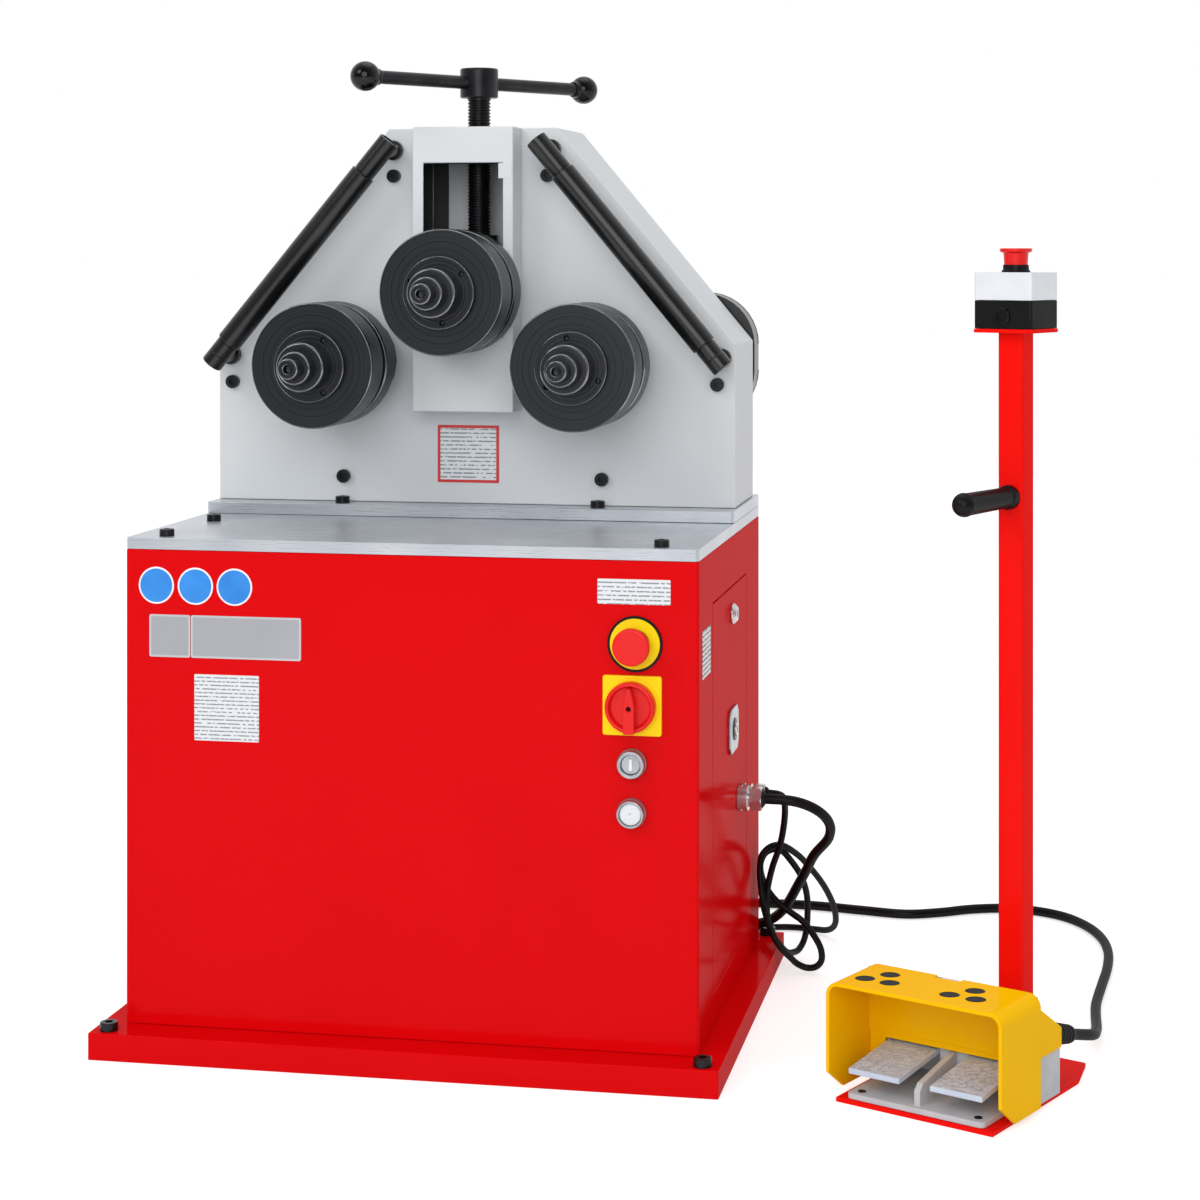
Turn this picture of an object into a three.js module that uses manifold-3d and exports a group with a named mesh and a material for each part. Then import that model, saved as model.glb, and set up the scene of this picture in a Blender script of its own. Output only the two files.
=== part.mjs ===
// A three-roll ring roller with a floor-standing double foot pedal, in millimetres, +Z up.
// The origin is the centre of the machine's plinth on the floor, and the operator stands at -Y.
import * as THREE from "three";
import { mergeVertices } from "three/addons/utils/BufferGeometryUtils.js";
import Module from "manifold-3d";

const wasm = await Module();
wasm.setup();

// Clearances that every piece shares.
const SEAT = 0.3; // between two pieces that rest on each other
const RUNNING = 0.1; // radial, between a shaft and its bore
const OVERRUN = 5; // how far a cutter passes the face it cuts
const HALF_SHARE = 1 / 2; // of a step, for a gear that is turned half a tooth

// Facets round a circle, by how much the piece shows. A bore has more than its shaft, so it clears it.
const BORE = 36;
const FINE = 28;
const MEDIUM = 20;
const COARSE = 14;
const SMALL = 10;
const TINY = 8;
const HEXAGON = 6;
const CORNER_STEPS = 4;
const SMALL_CORNER_STEPS = 2;

// The base and the cabinet. The plinth stands out past the cabinet on every side.
const CABINET = { width: 645, depth: 470, height: 527, sheet: 3, corner: 4, rim: 25 };
const PLINTH = { besides: 27.5, ahead: 41, behind: 31, height: 30, sheet: 3, ledge: 50 };
const TABLE = { thickness: 13, corner: 5 };
const SUB_PLATE = { thickness: 14, depth: 215 };

// The lift-off panel on the right side, by its distances from the cabinet's edges, with its lock
const PANEL = {
  fromFront: 97, fromRear: 112, fromFoot: 39, fromTop: 59, gap: 1.5, sheet: 3, lip: 12, flange: 12, corner: 3,
};
const LOCK = {
  fromFront: 142, fromTop: 30, radius: 12, head: 6, stem: 8, reach: 22, cam: 3, slot: 2.4, slotDepth: 1.6,
  slotLength: 18,
};

// The head: a hollow casting that is open at the back, with a column for the slide
const HEAD = {
  inset: 3.5, depth: 150, fromRear: 30, shoulder: 193, height: 451, topWidth: 208, wall: 14, face: 25,
};
const COLUMN = { wall: 13, back: 12, floor: 24, roof: 26 };
const REAR_COVER = { thickness: 8, inset: 6, bossDepth: 22, bossWall: 12 };

// The slide: guide plate, carriage, screw, nut and T-handle. Heights are above the head's foot.
const GUIDE = { width: 122, thickness: 46, foot: 113, window: 97, lintel: 43, windowFoot: 202 };
const CARRIAGE = { clearance: 0.5, front: 3, above: 55, below: 30, depth: 115, capRadius: 24, capHeight: 12 };
const SCREW = { radius: 14, back: 79, socket: 10, footRadius: 17, foot: 8, footClearance: 0.5 };
const NUT = { radius: 24, flangeRadius: 31, flange: 6 };
const HUB = { radius: 23, height: 36, above: 38, chamfer: 2 };
const BAR = { radius: 8, halfLength: 180, turn: 57 };
const KNOB = { radius: 17.5, socket: 12 };

// The rollers, which are three alike. The lower pair's spread is a share of the head's width.
const ROLLER = { radius: 73, front: 46, groove: 14, rear: 34, grooveRadius: 54, edge: 3, ahead: 53 };
const SHAFT = {
  radius: 20, nose: 19, noseLength: 21, tip: 12, tipLength: 22, tipHole: 5.2, tipHoleDepth: 14, chamfer: 2,
};
const CLAMP = {
  ring: 42, ringLength: 11, nut: 28.5, nutLength: 33, pinHole: 3.5, pinCircle: 35, pins: 3, pinDepth: 6,
  chamfer: 1.5,
};
const UPPER = { height: 256, run: 47 };
const LOWER = { height: 171, spreadShare: 154 / 638 };
const BEARING = { radius: 50, flangeRadius: 60, flange: 10, clearance: 0.3, length: 86 };

// The gear train behind the column: two driven gears, the idler between them and the pinion
const GEAR = {
  teeth: 28, pinionTeeth: 9, width: 30, behind: 100, backlash: 0.5, idlerBore: 15, pinionShaft: 12,
};
const GEAR_HUB = { radius: 34, length: 8 };
const TOOTH_SHARES = { addendum: 1, dedendum: 1.25, tipWidth: 0.22, rootWidth: 0.72 };

// The gear motor on the rear cover
const GEARBOX = {
  radius: 64, halfHeight: 80, depth: 44, bevel: 8, rearRadius: 48, rearDepth: 72, boreDepth: 30,
};
const MOTOR = {
  radius: 54, root: 46, body: 176, pitch: 22, behind: 90, flange: 12, flangeRadius: 52, cowl: 44,
  cowlRadius: 57,
};
const TERMINAL = { width: 60, depth: 56, drop: 34, fromFlange: 25.75, entryRadius: 9, entry: 12 };

// The black tubes on the head's shoulders. Their ends and studs lie inside the head's corners and below them.
const TUBE = {
  radius: 15, sleeveRadius: 13, ahead: 48, topSleeve: 50, bottomSleeve: 34, footRadius: 9, headRadius: 12,
  headLength: 8,
};
const TUBE_TOP = { inside: 15, below: 16 };
const TUBE_BOTTOM = { inside: 7, below: 26 };
const STUD_TOP = { inside: 6.5, below: 26 };
const STUD_BOTTOM = { inside: 16, below: 16 };

// The controls, by their distances from the right and upper edges of the cabinet's front
const ESTOP = {
  fromSide: 68.9, fromTop: 89, disc: 30, sheet: 2, collar: 15, collarLength: 8, cap: 20, capLength: 12,
  stem: 9, travel: 5,
};
const ESTOP_CAP = { round: 3, gap: 2 };
const SWITCH = { fromSide: 71.5, fromTop: 154.5, side: 64, sheet: 5, ring: 30, ringLength: 3, corner: 3 };
const SWITCH_KNOB = {
  radius: 27, rim: 4, depth: 13, floor: 5, grip: 12, gripLength: 23, taper: 4, tail: 31, tip: 17, hole: 2.4,
};
const BUTTON = {
  bezel: 16, bezelFront: 14.6, height: 14, recess: 3, travel: 4, barWidth: 3.6, bar: 13, barHeight: 1,
};
const START = { fromSide: 71.8, fromTop: 216.3, bore: 10.5, cap: 10.2 };
const RESET = { fromSide: 72.2, fromTop: 269.3, bore: 12, cap: 11.7, crown: 1.5 };

// The cable entries on the access panel, by their distances from the cabinet's rear edge and foot
const GLAND = {
  fromRear: 182, fromFoot: 214, base: 14.5, baseLength: 13, neck: 10, neckLength: 4, nut: 15, nutLength: 14,
  bore: 7.5, boreDepth: 8,
};
const LEAD_GLAND = {
  fromRear: 153, fromFoot: 215, base: 10, baseLength: 13, neck: 7, neckLength: 4, nut: 11, nutLength: 14,
  bore: 5.5, boreDepth: 6,
};

// The pedal stand, which has its own frame at the centre of its floor plate
const STAND = { besides: 284.5, fromRear: 417, turn: -24.9 };
const FLOOR_PLATE = { width: 183, depth: 252, thickness: 5, cutWidth: 18, cutDepth: 55 };
const BASE = { width: 160, front: -124, thickness: 6, rear: 20, rearHeight: 53.7, rearStart: -36, corner: 6 };
const DIVIDER = { thickness: 7, front: -117, frontHeight: 33, rearHeight: 48 };
const HOOD = {
  width: 205, front: -128, back: -40, top: 124.5, wall: 4, corner: 14, edge: 30, tipY: -97, tipZ: 7.5,
};
const HOUSING = { width: 193, shoulder: 112, rearTop: 75, rearBottom: 54, rear: 20 };
const NOTCH = { width: 30, depth: 8, x: -3 };
const PEDAL = { width: 60, gap: 18, front: -123, thickness: 6, frontZ: 37, rise: 10, hinge: 5 };
const AXLE = { y: -27, z: 42, radius: 3 };
const POST = { side: 30, y: 105, top: 799, corner: 4 };
const CAP_PLATE = { width: 72, depth: 66, thickness: 4 };
const BOX = { width: 70, depth: 64, halfHeight: 30.7, corner: 3 };
const PLUG = { radius: 9, length: 4, hollow: 6, hollowDepth: 2.5, z: 817 };
const GRIP = { z: 619, length: 118, rootRadius: 11.5, endRadius: 12.5, ball: 13 };
const POST_ESTOP = {
  neck: 13, neckFoot: 15, neckLength: 7, root: 13, rim: 18, height: 19, rimLength: 4, stem: 7, travel: 4,
};
const BOOT = {
  x: 80, z: 65, tilt: 15, radius: 12, tip: 9.5, length: 52, ribs: 5, ribDepth: 1.6, collarLength: 4.8,
  flange: 12.5, bore: 6.6,
};
const RIB_SHARES = { root: 1 / 6, top: 1 / 3, end: 2 / 3 };

// The cables' routes, measured from the floor below the cabinet's rear right edge
const PEDAL_CABLE = { radius: 6, steps: 64, sides: 8 };
const PEDAL_ROUTE = [
  [31.8, -182, 244], [35.8, -182, 244], [51.8, -181.7, 243.7], [67.5, -179.7, 241.7],
  [81.8, -174.8, 236.6], [93.4, -167.2, 228.8], [101.4, -157.6, 218.9], [104.9, -146.8, 207.7],
  [103.8, -135.7, 196.3], [99.3, -125, 185.3], [81, -103, 161.5], [68, -78, 135.5], [54.5, -53, 110],
  [41.5, -29, 85.5], [27, -6.5, 63.5], [6.5, 9.5, 47.5], [-20.5, 17.6, 40.2], [-42.5, 17.7, 36.9],
  [-102.5, 16.7, 36.9], [-162.5, 16.7, 36.9], [-206.5, 16.8, 37.1], [-239, 24, 38.8],
  [-264.5, 41, 38.5], [-282, 65, 33], [-290, 94, 21.5], [-288.5, 126, 11], [-276.5, 158, 6.5],
  [-246.5, 191, 6.4], [-206.5, 218, 6.4], [-150.5, 238, 6.4], [-82.5, 250, 6.4], [-12.5, 254, 6.4],
  [42.5, 253, 6.4], [107.5, 241, 6.4], [165.5, 233, 6.4], [209.5, 250, 6.4], [247.5, 273, 6.4],
  [289.5, 286, 6.4], [332.5, 281, 6.4], [371.5, 258, 6.4], [401.5, 216, 6.4], [420.5, 162, 6.4],
  [428.5, 100, 6.4], [427.5, 30, 6.4], [420.5, -50, 6.4], [414.5, -125, 7], [414.5, -185, 10],
  [415.5, -240, 16], [414.5, -290, 25], [411, -334.4, 36], [392.3, -374.7, 47.9],
  [385.6, -389.2, 52.2],
];
const MOTOR_LEAD = { radius: 4, steps: 132, sides: 6 };
const LEAD_LOOPS = [
  [25.8, -153, 245], [31.7, -152.9, 244.9], [38.7, -150.9, 244.1], [44.5, -145.4, 241.8],
  [47.5, -137, 237.3], [46.5, -109.6, 218.7], [42.5, -86.9, 193.9], [35.7, -72.2, 164.1],
  [24.8, -62.9, 133.3], [17.7, -56.4, 100.8], [17.4, -50.1, 67.5], [20.2, -45.7, 54.5],
  [25.2, -41.9, 42.2], [33.3, -40.4, 31.2], [37.5, -30.2, 23.1], [39.7, -11.5, 16.3], [42.7, 1.8, 13.4],
  [47.5, 14.9, 13.1], [52.6, 24.9, 20.8], [55.9, 28.1, 33.9], [57.8, 24.8, 53.4], [58.5, 10.9, 84.3],
  [52.8, -7, 112.6], [40.5, -21.3, 135.9], [33.1, -27.8, 145.8], [23.5, -35.9, 150.1],
  [13.6, -41.8, 146], [8.3, -45.7, 134.7], [9, -45.2, 120.8], [16.1, -43.4, 102.4], [27.9, -40.2, 86.7],
  [43.9, -40.1, 74.8], [60.6, -43.2, 64.2], [76.8, -45.2, 44.3], [82.7, -45, 31.6], [83.1, -43.4, 18.1],
  [75.9, -39.5, 8.9], [64.6, -38.2, 6.6], [53, -40, 11.4], [45.7, -47.3, 20.4], [36.9, -59.6, 33.6],
  [27.9, -66.5, 49.9], [16.6, -68.6, 81.6], [10.5, -61.7, 114.3], [9.2, -57.1, 133.7],
  [11.8, -55.4, 147.3], [21.3, -51.9, 156.5], [32.4, -44, 157.3], [49.6, -19.6, 141.4],
  [62.1, 4.4, 120.8], [73.9, 26.8, 98.1], [82, 50.1, 74.8], [86.5, 73.9, 51], [85.3, 98.3, 27.4],
  [79.3, 113.3, 15.7], [69.1, 128.7, 8.3], [54.1, 141.2, 5.4], [21.2, 148.3, 4.6], [-11.8, 140.4, 4.6],
  [-42.4, 125.9, 4.6], [-70.8, 107.1, 4.6], [-98.6, 87.7, 5.4], [-115.1, 76.9, 8.7],
  [-131.4, 67.7, 15.6], [-143.5, 61.9, 30.1], [-150.2, 59.5, 48.7], [-152.6, 60, 82.6],
  [-152.8, 60, 116.6],
];
// The straight end of the lead, measured from the motor's entry
const LEAD_RISE = [
  [0, 0, -436], [0, 0, -300], [0, 0, -200], [0, 0, -100], [0, 0, -0.3],
];

// Sizes that follow from the ones above
const plinthWidth = CABINET.width + 2 * PLINTH.besides;
const plinthDepth = CABINET.depth + PLINTH.ahead + PLINTH.behind;
const cabinetFront = PLINTH.ahead - plinthDepth / 2;
const cabinetRear = cabinetFront + CABINET.depth;
const cabinetSide = CABINET.width / 2;
const cabinetTop = PLINTH.height + CABINET.height;
const panelY = [cabinetFront + PANEL.fromFront, cabinetRear - PANEL.fromRear];
const panelZ = [PLINTH.height + PANEL.fromFoot, cabinetTop - PANEL.fromTop];
const lockY = panelY[0] + LOCK.fromFront;
const lockZ = panelZ[1] - LOCK.fromTop;
const tableTop = cabinetTop + TABLE.thickness;
const headBottom = tableTop + SUB_PLATE.thickness;
const headTop = headBottom + HEAD.height;
const headRear = cabinetRear - HEAD.fromRear;
const headFront = headRear - HEAD.depth;
const headWidth = CABINET.width - 2 * HEAD.inset;
const guideFront = headFront - GUIDE.thickness;
const guideFoot = headBottom + GUIDE.foot;
const windowZ = [headBottom + GUIDE.windowFoot, headTop - GUIDE.lintel];
const screwY = guideFront + SCREW.back;
const columnBack = screwY + UPPER.run - COLUMN.back / 2;
const upperZ = headBottom + UPPER.height;
const lowerZ = headBottom + LOWER.height;
const lowerX = headWidth * LOWER.spreadShare;
const rollerBack = headFront - ROLLER.ahead;
const rollerFront = rollerBack - ROLLER.rear - ROLLER.groove - ROLLER.front;
const clampFront = rollerFront - CLAMP.ringLength - CLAMP.nutLength;
const gearY = [headFront + GEAR.behind, headFront + GEAR.behind + GEAR.width];
const gearRadius = lowerX / 2;
const toothModule = (2 * gearRadius) / GEAR.teeth;
const pinionRadius = (toothModule * GEAR.pinionTeeth) / 2;
const pinionX = lowerX + gearRadius + pinionRadius;
const coverRear = headRear + REAR_COVER.thickness;
const motorY = headRear + MOTOR.behind;
const motorEnd = pinionX - GEARBOX.rearRadius - MOTOR.flange;
const terminalX = motorEnd - TERMINAL.fromFlange;
const entryZ = lowerZ - MOTOR.radius - TERMINAL.drop - TERMINAL.entry;
const degrees = Math.PI / 180;

const FINISHES = {
  red: { color: 0xd8100c, roughness: 0.35, metalness: 0 },
  castGrey: { color: 0xc6cbce, roughness: 0.5, metalness: 0.1 },
  steel: { color: 0x9c9fa3, roughness: 0.4, metalness: 0.9 },
  blackSteel: { color: 0x26272b, roughness: 0.4, metalness: 0.6 },
  blackPaint: { color: 0x1a1a1b, roughness: 0.35, metalness: 0.1 },
  chrome: { color: 0xc8cacf, roughness: 0.15, metalness: 1 },
  bronze: { color: 0xa47840, roughness: 0.4, metalness: 0.9 },
  yellow: { color: 0xf2c200, roughness: 0.4, metalness: 0 },
  redPlastic: { color: 0xe01812, roughness: 0.3, metalness: 0 },
  whitePlastic: { color: 0xe6e9ee, roughness: 0.35, metalness: 0 },
  greyPlastic: { color: 0xa9abae, roughness: 0.5, metalness: 0.1 },
  rubber: { color: 0x141415, roughness: 0.6, metalness: 0 },
};

// A closed geometry as a solid that can be joined and cut, facing outwards.
function solid(geometry) {
  const loose = geometry.index ? geometry.toNonIndexed() : geometry;
  const bare = new THREE.BufferGeometry();
  bare.setAttribute("position", loose.getAttribute("position"));
  const merged = mergeVertices(bare);
  const positions = merged.getAttribute("position").array;
  const made = new wasm.Manifold(
    new wasm.Mesh({ numProp: 3, vertProperties: positions, triVerts: new Uint32Array(merged.index.array) }),
  );
  if (made.volume() > 0) return made;
  const turned = new Uint32Array(merged.index.array).reverse();
  return new wasm.Manifold(new wasm.Mesh({ numProp: 3, vertProperties: positions, triVerts: turned }));
}

function block([x0, x1], [y0, y1], [z0, z1]) {
  const box = new THREE.BoxGeometry(x1 - x0, y1 - y0, z1 - z0);
  return solid(box.translate((x0 + x1) / 2, (y0 + y1) / 2, (z0 + z1) / 2));
}

// Turns a form that is built along +Y so that it points along another axis.
function aim(geometry, axis) {
  if (axis === "x") geometry.rotateZ(-Math.PI / 2);
  if (axis === "z") geometry.rotateX(Math.PI / 2);
  return geometry;
}

// A revolved form: each [radius, distance along the axis] is a point of its closed outline.
function turned(outline, axis, at, sides) {
  const points = outline.map(([radius, along]) => new THREE.Vector2(radius, along));
  const lathe = aim(new THREE.LatheGeometry(points, sides), axis);
  return solid(lathe.translate(...at));
}

const HERE = [0, 0, 0];

function rod(radius, [from, to], axis, at, sides) {
  return turned([[0, from], [radius, from], [radius, to], [0, to]], axis, at, sides);
}

const alongX = new THREE.Vector3(1, 0, 0);
const alongY = new THREE.Vector3(0, 1, 0);
const alongZ = new THREE.Vector3(0, 0, 1);
const PLANES = {
  x: new THREE.Matrix4().makeBasis(alongY, alongZ, alongX),
  y: new THREE.Matrix4().makeBasis(alongX, alongZ, alongY.clone().negate()),
  z: new THREE.Matrix4(),
};

// An outline extruded along an axis. Across x it reads (y, z), across y (x, z) and across z (x, y).
function prism(shape, axis, [from, to], steps = CORNER_STEPS) {
  const corners = Array.isArray(shape) && shape.map(([a, b]) => new THREE.Vector2(a, b));
  const outline = corners ? new THREE.Shape(corners) : shape;
  const geometry = new THREE.ExtrudeGeometry(outline, {
    depth: to - from,
    bevelEnabled: false,
    curveSegments: steps,
  });
  geometry.applyMatrix4(PLANES[axis]);
  const shift = { x: [from, 0, 0], y: [0, to, 0], z: [0, 0, from] };
  return solid(geometry.translate(...shift[axis]));
}

// A rectangle with rounded corners, between two opposite corners.
function rounded([x0, x1], [y0, y1], radius) {
  const shape = new THREE.Shape();
  shape.absarc(x1 - radius, y1 - radius, radius, 0, Math.PI / 2);
  shape.absarc(x0 + radius, y1 - radius, radius, Math.PI / 2, Math.PI);
  shape.absarc(x0 + radius, y0 + radius, radius, Math.PI, 1.5 * Math.PI);
  shape.absarc(x1 - radius, y0 + radius, radius, 1.5 * Math.PI, 2 * Math.PI);
  shape.closePath();
  return shape;
}

function join(...solids) {
  return solids.reduce((sum, next) => sum.add(next));
}

function cut(body, ...cutters) {
  return cutters.reduce((rest, next) => rest.subtract(next), body);
}

// A span that runs a little past both of its ends, for a cutter.
function past([from, to]) {
  return [from - OVERRUN, to + OVERRUN];
}

const centred = (size) => [-size / 2, size / 2];

// Adds one named piece to a group.
function piece(group, name, body, finish, at = HERE) {
  const { vertProperties, triVerts, numProp } = body.getMesh();
  const geometry = new THREE.BufferGeometry();
  const points = new Float32Array((vertProperties.length / numProp) * 3);
  for (let i = 0; i < points.length / 3; i++) {
    points.set(vertProperties.subarray(i * numProp, i * numProp + 3), i * 3);
  }
  geometry.setAttribute("position", new THREE.BufferAttribute(points, 3));
  geometry.setIndex(new THREE.BufferAttribute(triVerts, 1));
  geometry.computeVertexNormals();
  const mesh = new THREE.Mesh(geometry, new THREE.MeshStandardMaterial(FINISHES[finish]));
  mesh.name = name;
  mesh.position.set(...at);
  group.add(mesh);
  return mesh;
}

// The plinth is a floor pan with a folded ledge that carries the cabinet.
function plinth(group) {
  const { height, sheet, ledge } = PLINTH;
  const drawnIn = (margin) => [centred(plinthWidth - 2 * margin), centred(plinthDepth - 2 * margin)];
  const outside = block(...drawnIn(0), [0, height]);
  const inside = block(...drawnIn(sheet), [sheet, height - sheet]);
  const mouth = block(...drawnIn(ledge + sheet), [sheet, height + OVERRUN]);
  piece(group, "plinth", cut(outside, inside, mouth), "red");
}

// Four sheet walls with a folded rim at the top, and the side opening with its seating lip.
function cabinetShell(group) {
  const { sheet, corner, rim } = CABINET;
  const z = [PLINTH.height + SEAT, cabinetTop - SEAT];
  const x = [-cabinetSide, cabinetSide];
  const y = [cabinetFront, cabinetRear];
  const inner = [[x[0] + sheet, x[1] - sheet], [y[0] + sheet, y[1] - sheet]];
  const shell = cut(
    prism(rounded(x, y, corner), "z", z),
    block(...inner, [z[0] - OVERRUN, z[1] - sheet]),
    block([x[0] + rim, x[1] - rim], [y[0] + rim, y[1] - rim], [z[0], z[1] + OVERRUN]),
  );
  const { gap, lip } = PANEL;
  const [front, rear] = panelY;
  const [bottom, top] = panelZ;
  const mouth = rounded([front - gap, rear + gap], [bottom - gap, top + gap], PANEL.corner + gap);
  const opening = prism(mouth, "x", past([cabinetSide - sheet, cabinetSide]));
  const lipDepth = [cabinetSide - 2 * sheet - SEAT, cabinetSide - sheet - SEAT];
  const frame = cut(
    block([lipDepth[0], cabinetSide - sheet], [front - lip, rear + lip], [bottom - lip, top + lip]),
    block(past(lipDepth), [front + lip, rear - lip], [bottom + lip, top - lip]),
    block([lipDepth[1], cabinetSide], [front - gap, rear + gap], [bottom - gap, top + gap]),
  );
  piece(group, "cabinet_shell", join(cut(shell, opening), frame), "red");
}

// Where a cable entry lies on the panel, across and up.
const entryPlace = ({ fromRear, fromFoot }) => [cabinetRear - fromRear, PLINTH.height + fromFoot];

// The lift-off panel with its folded flange, and the holes for the lock and the cable entries.
function accessPanel(group) {
  const { sheet, corner, flange, lip } = PANEL;
  const [front, rear] = panelY;
  const [bottom, top] = panelZ;
  const face = prism(rounded([front, rear], [bottom, top], corner), "x", [cabinetSide - sheet, cabinetSide]);
  const x = [cabinetSide - sheet - flange, cabinetSide - sheet + SEAT];
  const inset = lip + PANEL.gap;
  const drawnIn = (margin) => [[front + margin, rear - margin], [bottom + margin, top - margin]];
  const ring = cut(block(x, ...drawnIn(inset)), block(past(x), ...drawnIn(inset + sheet)));
  const through = past([cabinetSide - sheet, cabinetSide]);
  const camPath = [lockY - LOCK.reach - LOCK.cam, lockY + LOCK.reach + LOCK.cam];
  const holes = [
    block([x[0] - OVERRUN, cabinetSide - sheet], camPath, [lockZ, top]),
    rod(LOCK.stem + RUNNING, through, "x", [0, lockY, lockZ], MEDIUM),
    rod(GLAND.neck, through, "x", [0, ...entryPlace(GLAND)], MEDIUM),
    rod(LEAD_GLAND.neck, through, "x", [0, ...entryPlace(LEAD_GLAND)], MEDIUM),
  ];
  piece(group, "access_panel", cut(join(face, ring), ...holes), "red");
}

// The quarter-turn lock: a slotted head, its stem and the cam that grips behind the panel's lip.
function panelLock(group) {
  const { radius, head, stem, reach, cam, slot, slotDepth, slotLength } = LOCK;
  const behind = -2 * (PANEL.sheet + SEAT);
  const edge = slot / 2;
  const outline = [[0, SEAT], [radius, SEAT], [radius, head - edge], [radius - edge, head], [0, head]];
  const body = join(
    turned(outline, "x", HERE, MEDIUM),
    rod(stem, [behind - cam, head / 2], "x", HERE, MEDIUM),
    block([behind - cam, behind], centred(stem), [0, reach]),
  );
  const groove = block([head - slotDepth, head + OVERRUN], centred(slotLength), centred(slot));
  piece(group, "panel_lock", cut(body, groove), "chrome", [cabinetSide, lockY, lockZ]);
}

// A cable gland along +X: threaded body, neck and hexagonal nut, with the mouth that takes the cable.
function gland(group, name, finish, size) {
  const { base, baseLength, neck, neckLength, nut, nutLength, bore, boreDepth } = size;
  const through = -PANEL.sheet - SEAT;
  const ends = [SEAT, baseLength, baseLength + neckLength, baseLength + neckLength + nutLength];
  const body = join(
    rod(base, [ends[0], ends[1]], "x", HERE, MEDIUM),
    rod(neck - RUNNING, [through, ends[2]], "x", HERE, MEDIUM),
    rod(nut, [ends[2], ends[3]], "x", HERE, HEXAGON),
  );
  const mouth = rod(bore, [ends[3] - boreDepth, ends[3] + OVERRUN], "x", HERE, COARSE);
  piece(group, name, cut(body, mouth), finish, [cabinetSide, ...entryPlace(size)]);
}

function plates(group) {
  const x = [-cabinetSide, cabinetSide];
  const table = prism(rounded(x, [cabinetFront, cabinetRear], TABLE.corner), "z", [cabinetTop, tableTop]);
  piece(group, "table_plate", table, "steel");
  const sub = prism(rounded(x, [cabinetRear - SUB_PLATE.depth, cabinetRear], TABLE.corner), "z", [
    tableTop + SEAT,
    headBottom,
  ]);
  piece(group, "sub_plate", sub, "steel");
}

// The head's house-shaped outline, drawn in by a margin on every side.
function house(margin) {
  const side = headWidth / 2 - margin;
  const shoulder = headBottom + HEAD.shoulder;
  const slope = (headWidth - HEAD.topWidth) / (2 * (HEAD.height - HEAD.shoulder));
  const slant = margin * (Math.hypot(1, slope) - slope);
  const top = headTop - margin;
  const topSide = HEAD.topWidth / 2 - slant;
  const low = shoulder - margin * (Math.hypot(1, 1 / slope) - 1 / slope);
  const bottom = headBottom + SEAT + margin;
  return [[-side, bottom], [side, bottom], [side, low], [topSide, top], [-topSide, top], [-side, low]];
}

// The casting is hollow from the back. A box-shaped column behind the face guides the carriage,
// and the face carries the two bearing housings and the holes of the shoulder tubes.
function headCasting(group) {
  const { face, wall } = HEAD;
  const front = headFront;
  const hollow = prism(house(wall), "y", [front + face, headRear + OVERRUN]);
  const outside = cut(prism(house(0), "y", [front, headRear]), hollow);
  const column = [
    centred(GUIDE.window + 2 * COLUMN.wall),
    [front, columnBack + COLUMN.back],
    [windowZ[0] - COLUMN.floor, headTop],
  ];
  const channelZ = [windowZ[0], headTop - COLUMN.roof];
  const channel = block(centred(GUIDE.window), [front - OVERRUN, columnBack], channelZ);
  const roof = past([headTop - COLUMN.roof, headTop]);
  const nutHole = rod(NUT.radius + RUNNING, roof, "z", [0, screwY, 0], MEDIUM);
  const bearingHoles = [-lowerX, lowerX].map((x) =>
    rod(BEARING.radius - BEARING.flange + RUNNING, past([front, front + face]), "y", [x, 0, lowerZ], MEDIUM),
  );
  const body = cut(join(outside, block(...column)), channel, nutHole, ...bearingHoles);
  piece(group, "head_casting", body, "castGrey");
}

// The guide plate with its window, bolted on the head's face.
function slideGuide(group) {
  const y = [guideFront, headFront - SEAT];
  const plate = block(centred(GUIDE.width), y, [guideFoot, headTop]);
  const window = block(centred(GUIDE.window), past(y), windowZ);
  piece(group, "slide_guide", cut(plate, window), "castGrey");
}

// The flanged nut sits in the column's roof from below, flush with the head's top.
function screwNut(group) {
  const roof = headTop - COLUMN.roof + SEAT;
  const { radius, flangeRadius, flange } = NUT;
  const body = turned(
    [
      [0, roof - SEAT - flange], [flangeRadius, roof - SEAT - flange], [flangeRadius, roof - SEAT],
      [radius, roof - SEAT], [radius, headTop], [0, headTop],
    ],
    "z", [0, screwY, 0], MEDIUM,
  );
  const bore = rod(SCREW.radius + RUNNING, past([roof - flange, headTop]), "z", [0, screwY, 0], FINE);
  piece(group, "screw_nut", cut(body, bore), "bronze");
}

// The carriage slides in the window and the column. It holds the upper shaft in its bore
// and the screw's foot in the socket under its cap.
function carriage(group) {
  const side = GUIDE.window / 2 - CARRIAGE.clearance;
  const y = [guideFront + CARRIAGE.front, guideFront + CARRIAGE.front + CARRIAGE.depth];
  const top = CARRIAGE.above;
  const { foot, footRadius, footClearance, radius } = SCREW;
  const over = [0, screwY, 0];
  const slider = block([-side, side], y, [-CARRIAGE.below, top]);
  const capTop = top + CARRIAGE.capHeight;
  const cap = rod(CARRIAGE.capRadius, [top - SEAT, capTop], "z", over, MEDIUM);
  const bore = rod(SHAFT.radius + RUNNING, past(y), "y", HERE, BORE);
  const socketTop = top + CARRIAGE.capHeight / 2;
  const socketZ = [socketTop - foot - 2 * footClearance, socketTop];
  const socket = rod(footRadius + footClearance, socketZ, "z", over, MEDIUM);
  const throat = rod(radius + footClearance, [socketTop - foot, capTop + OVERRUN], "z", over, MEDIUM);
  piece(group, "carriage", cut(join(slider, cap), bore, socket, throat), "steel", [0, 0, upperZ]);
}

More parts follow.
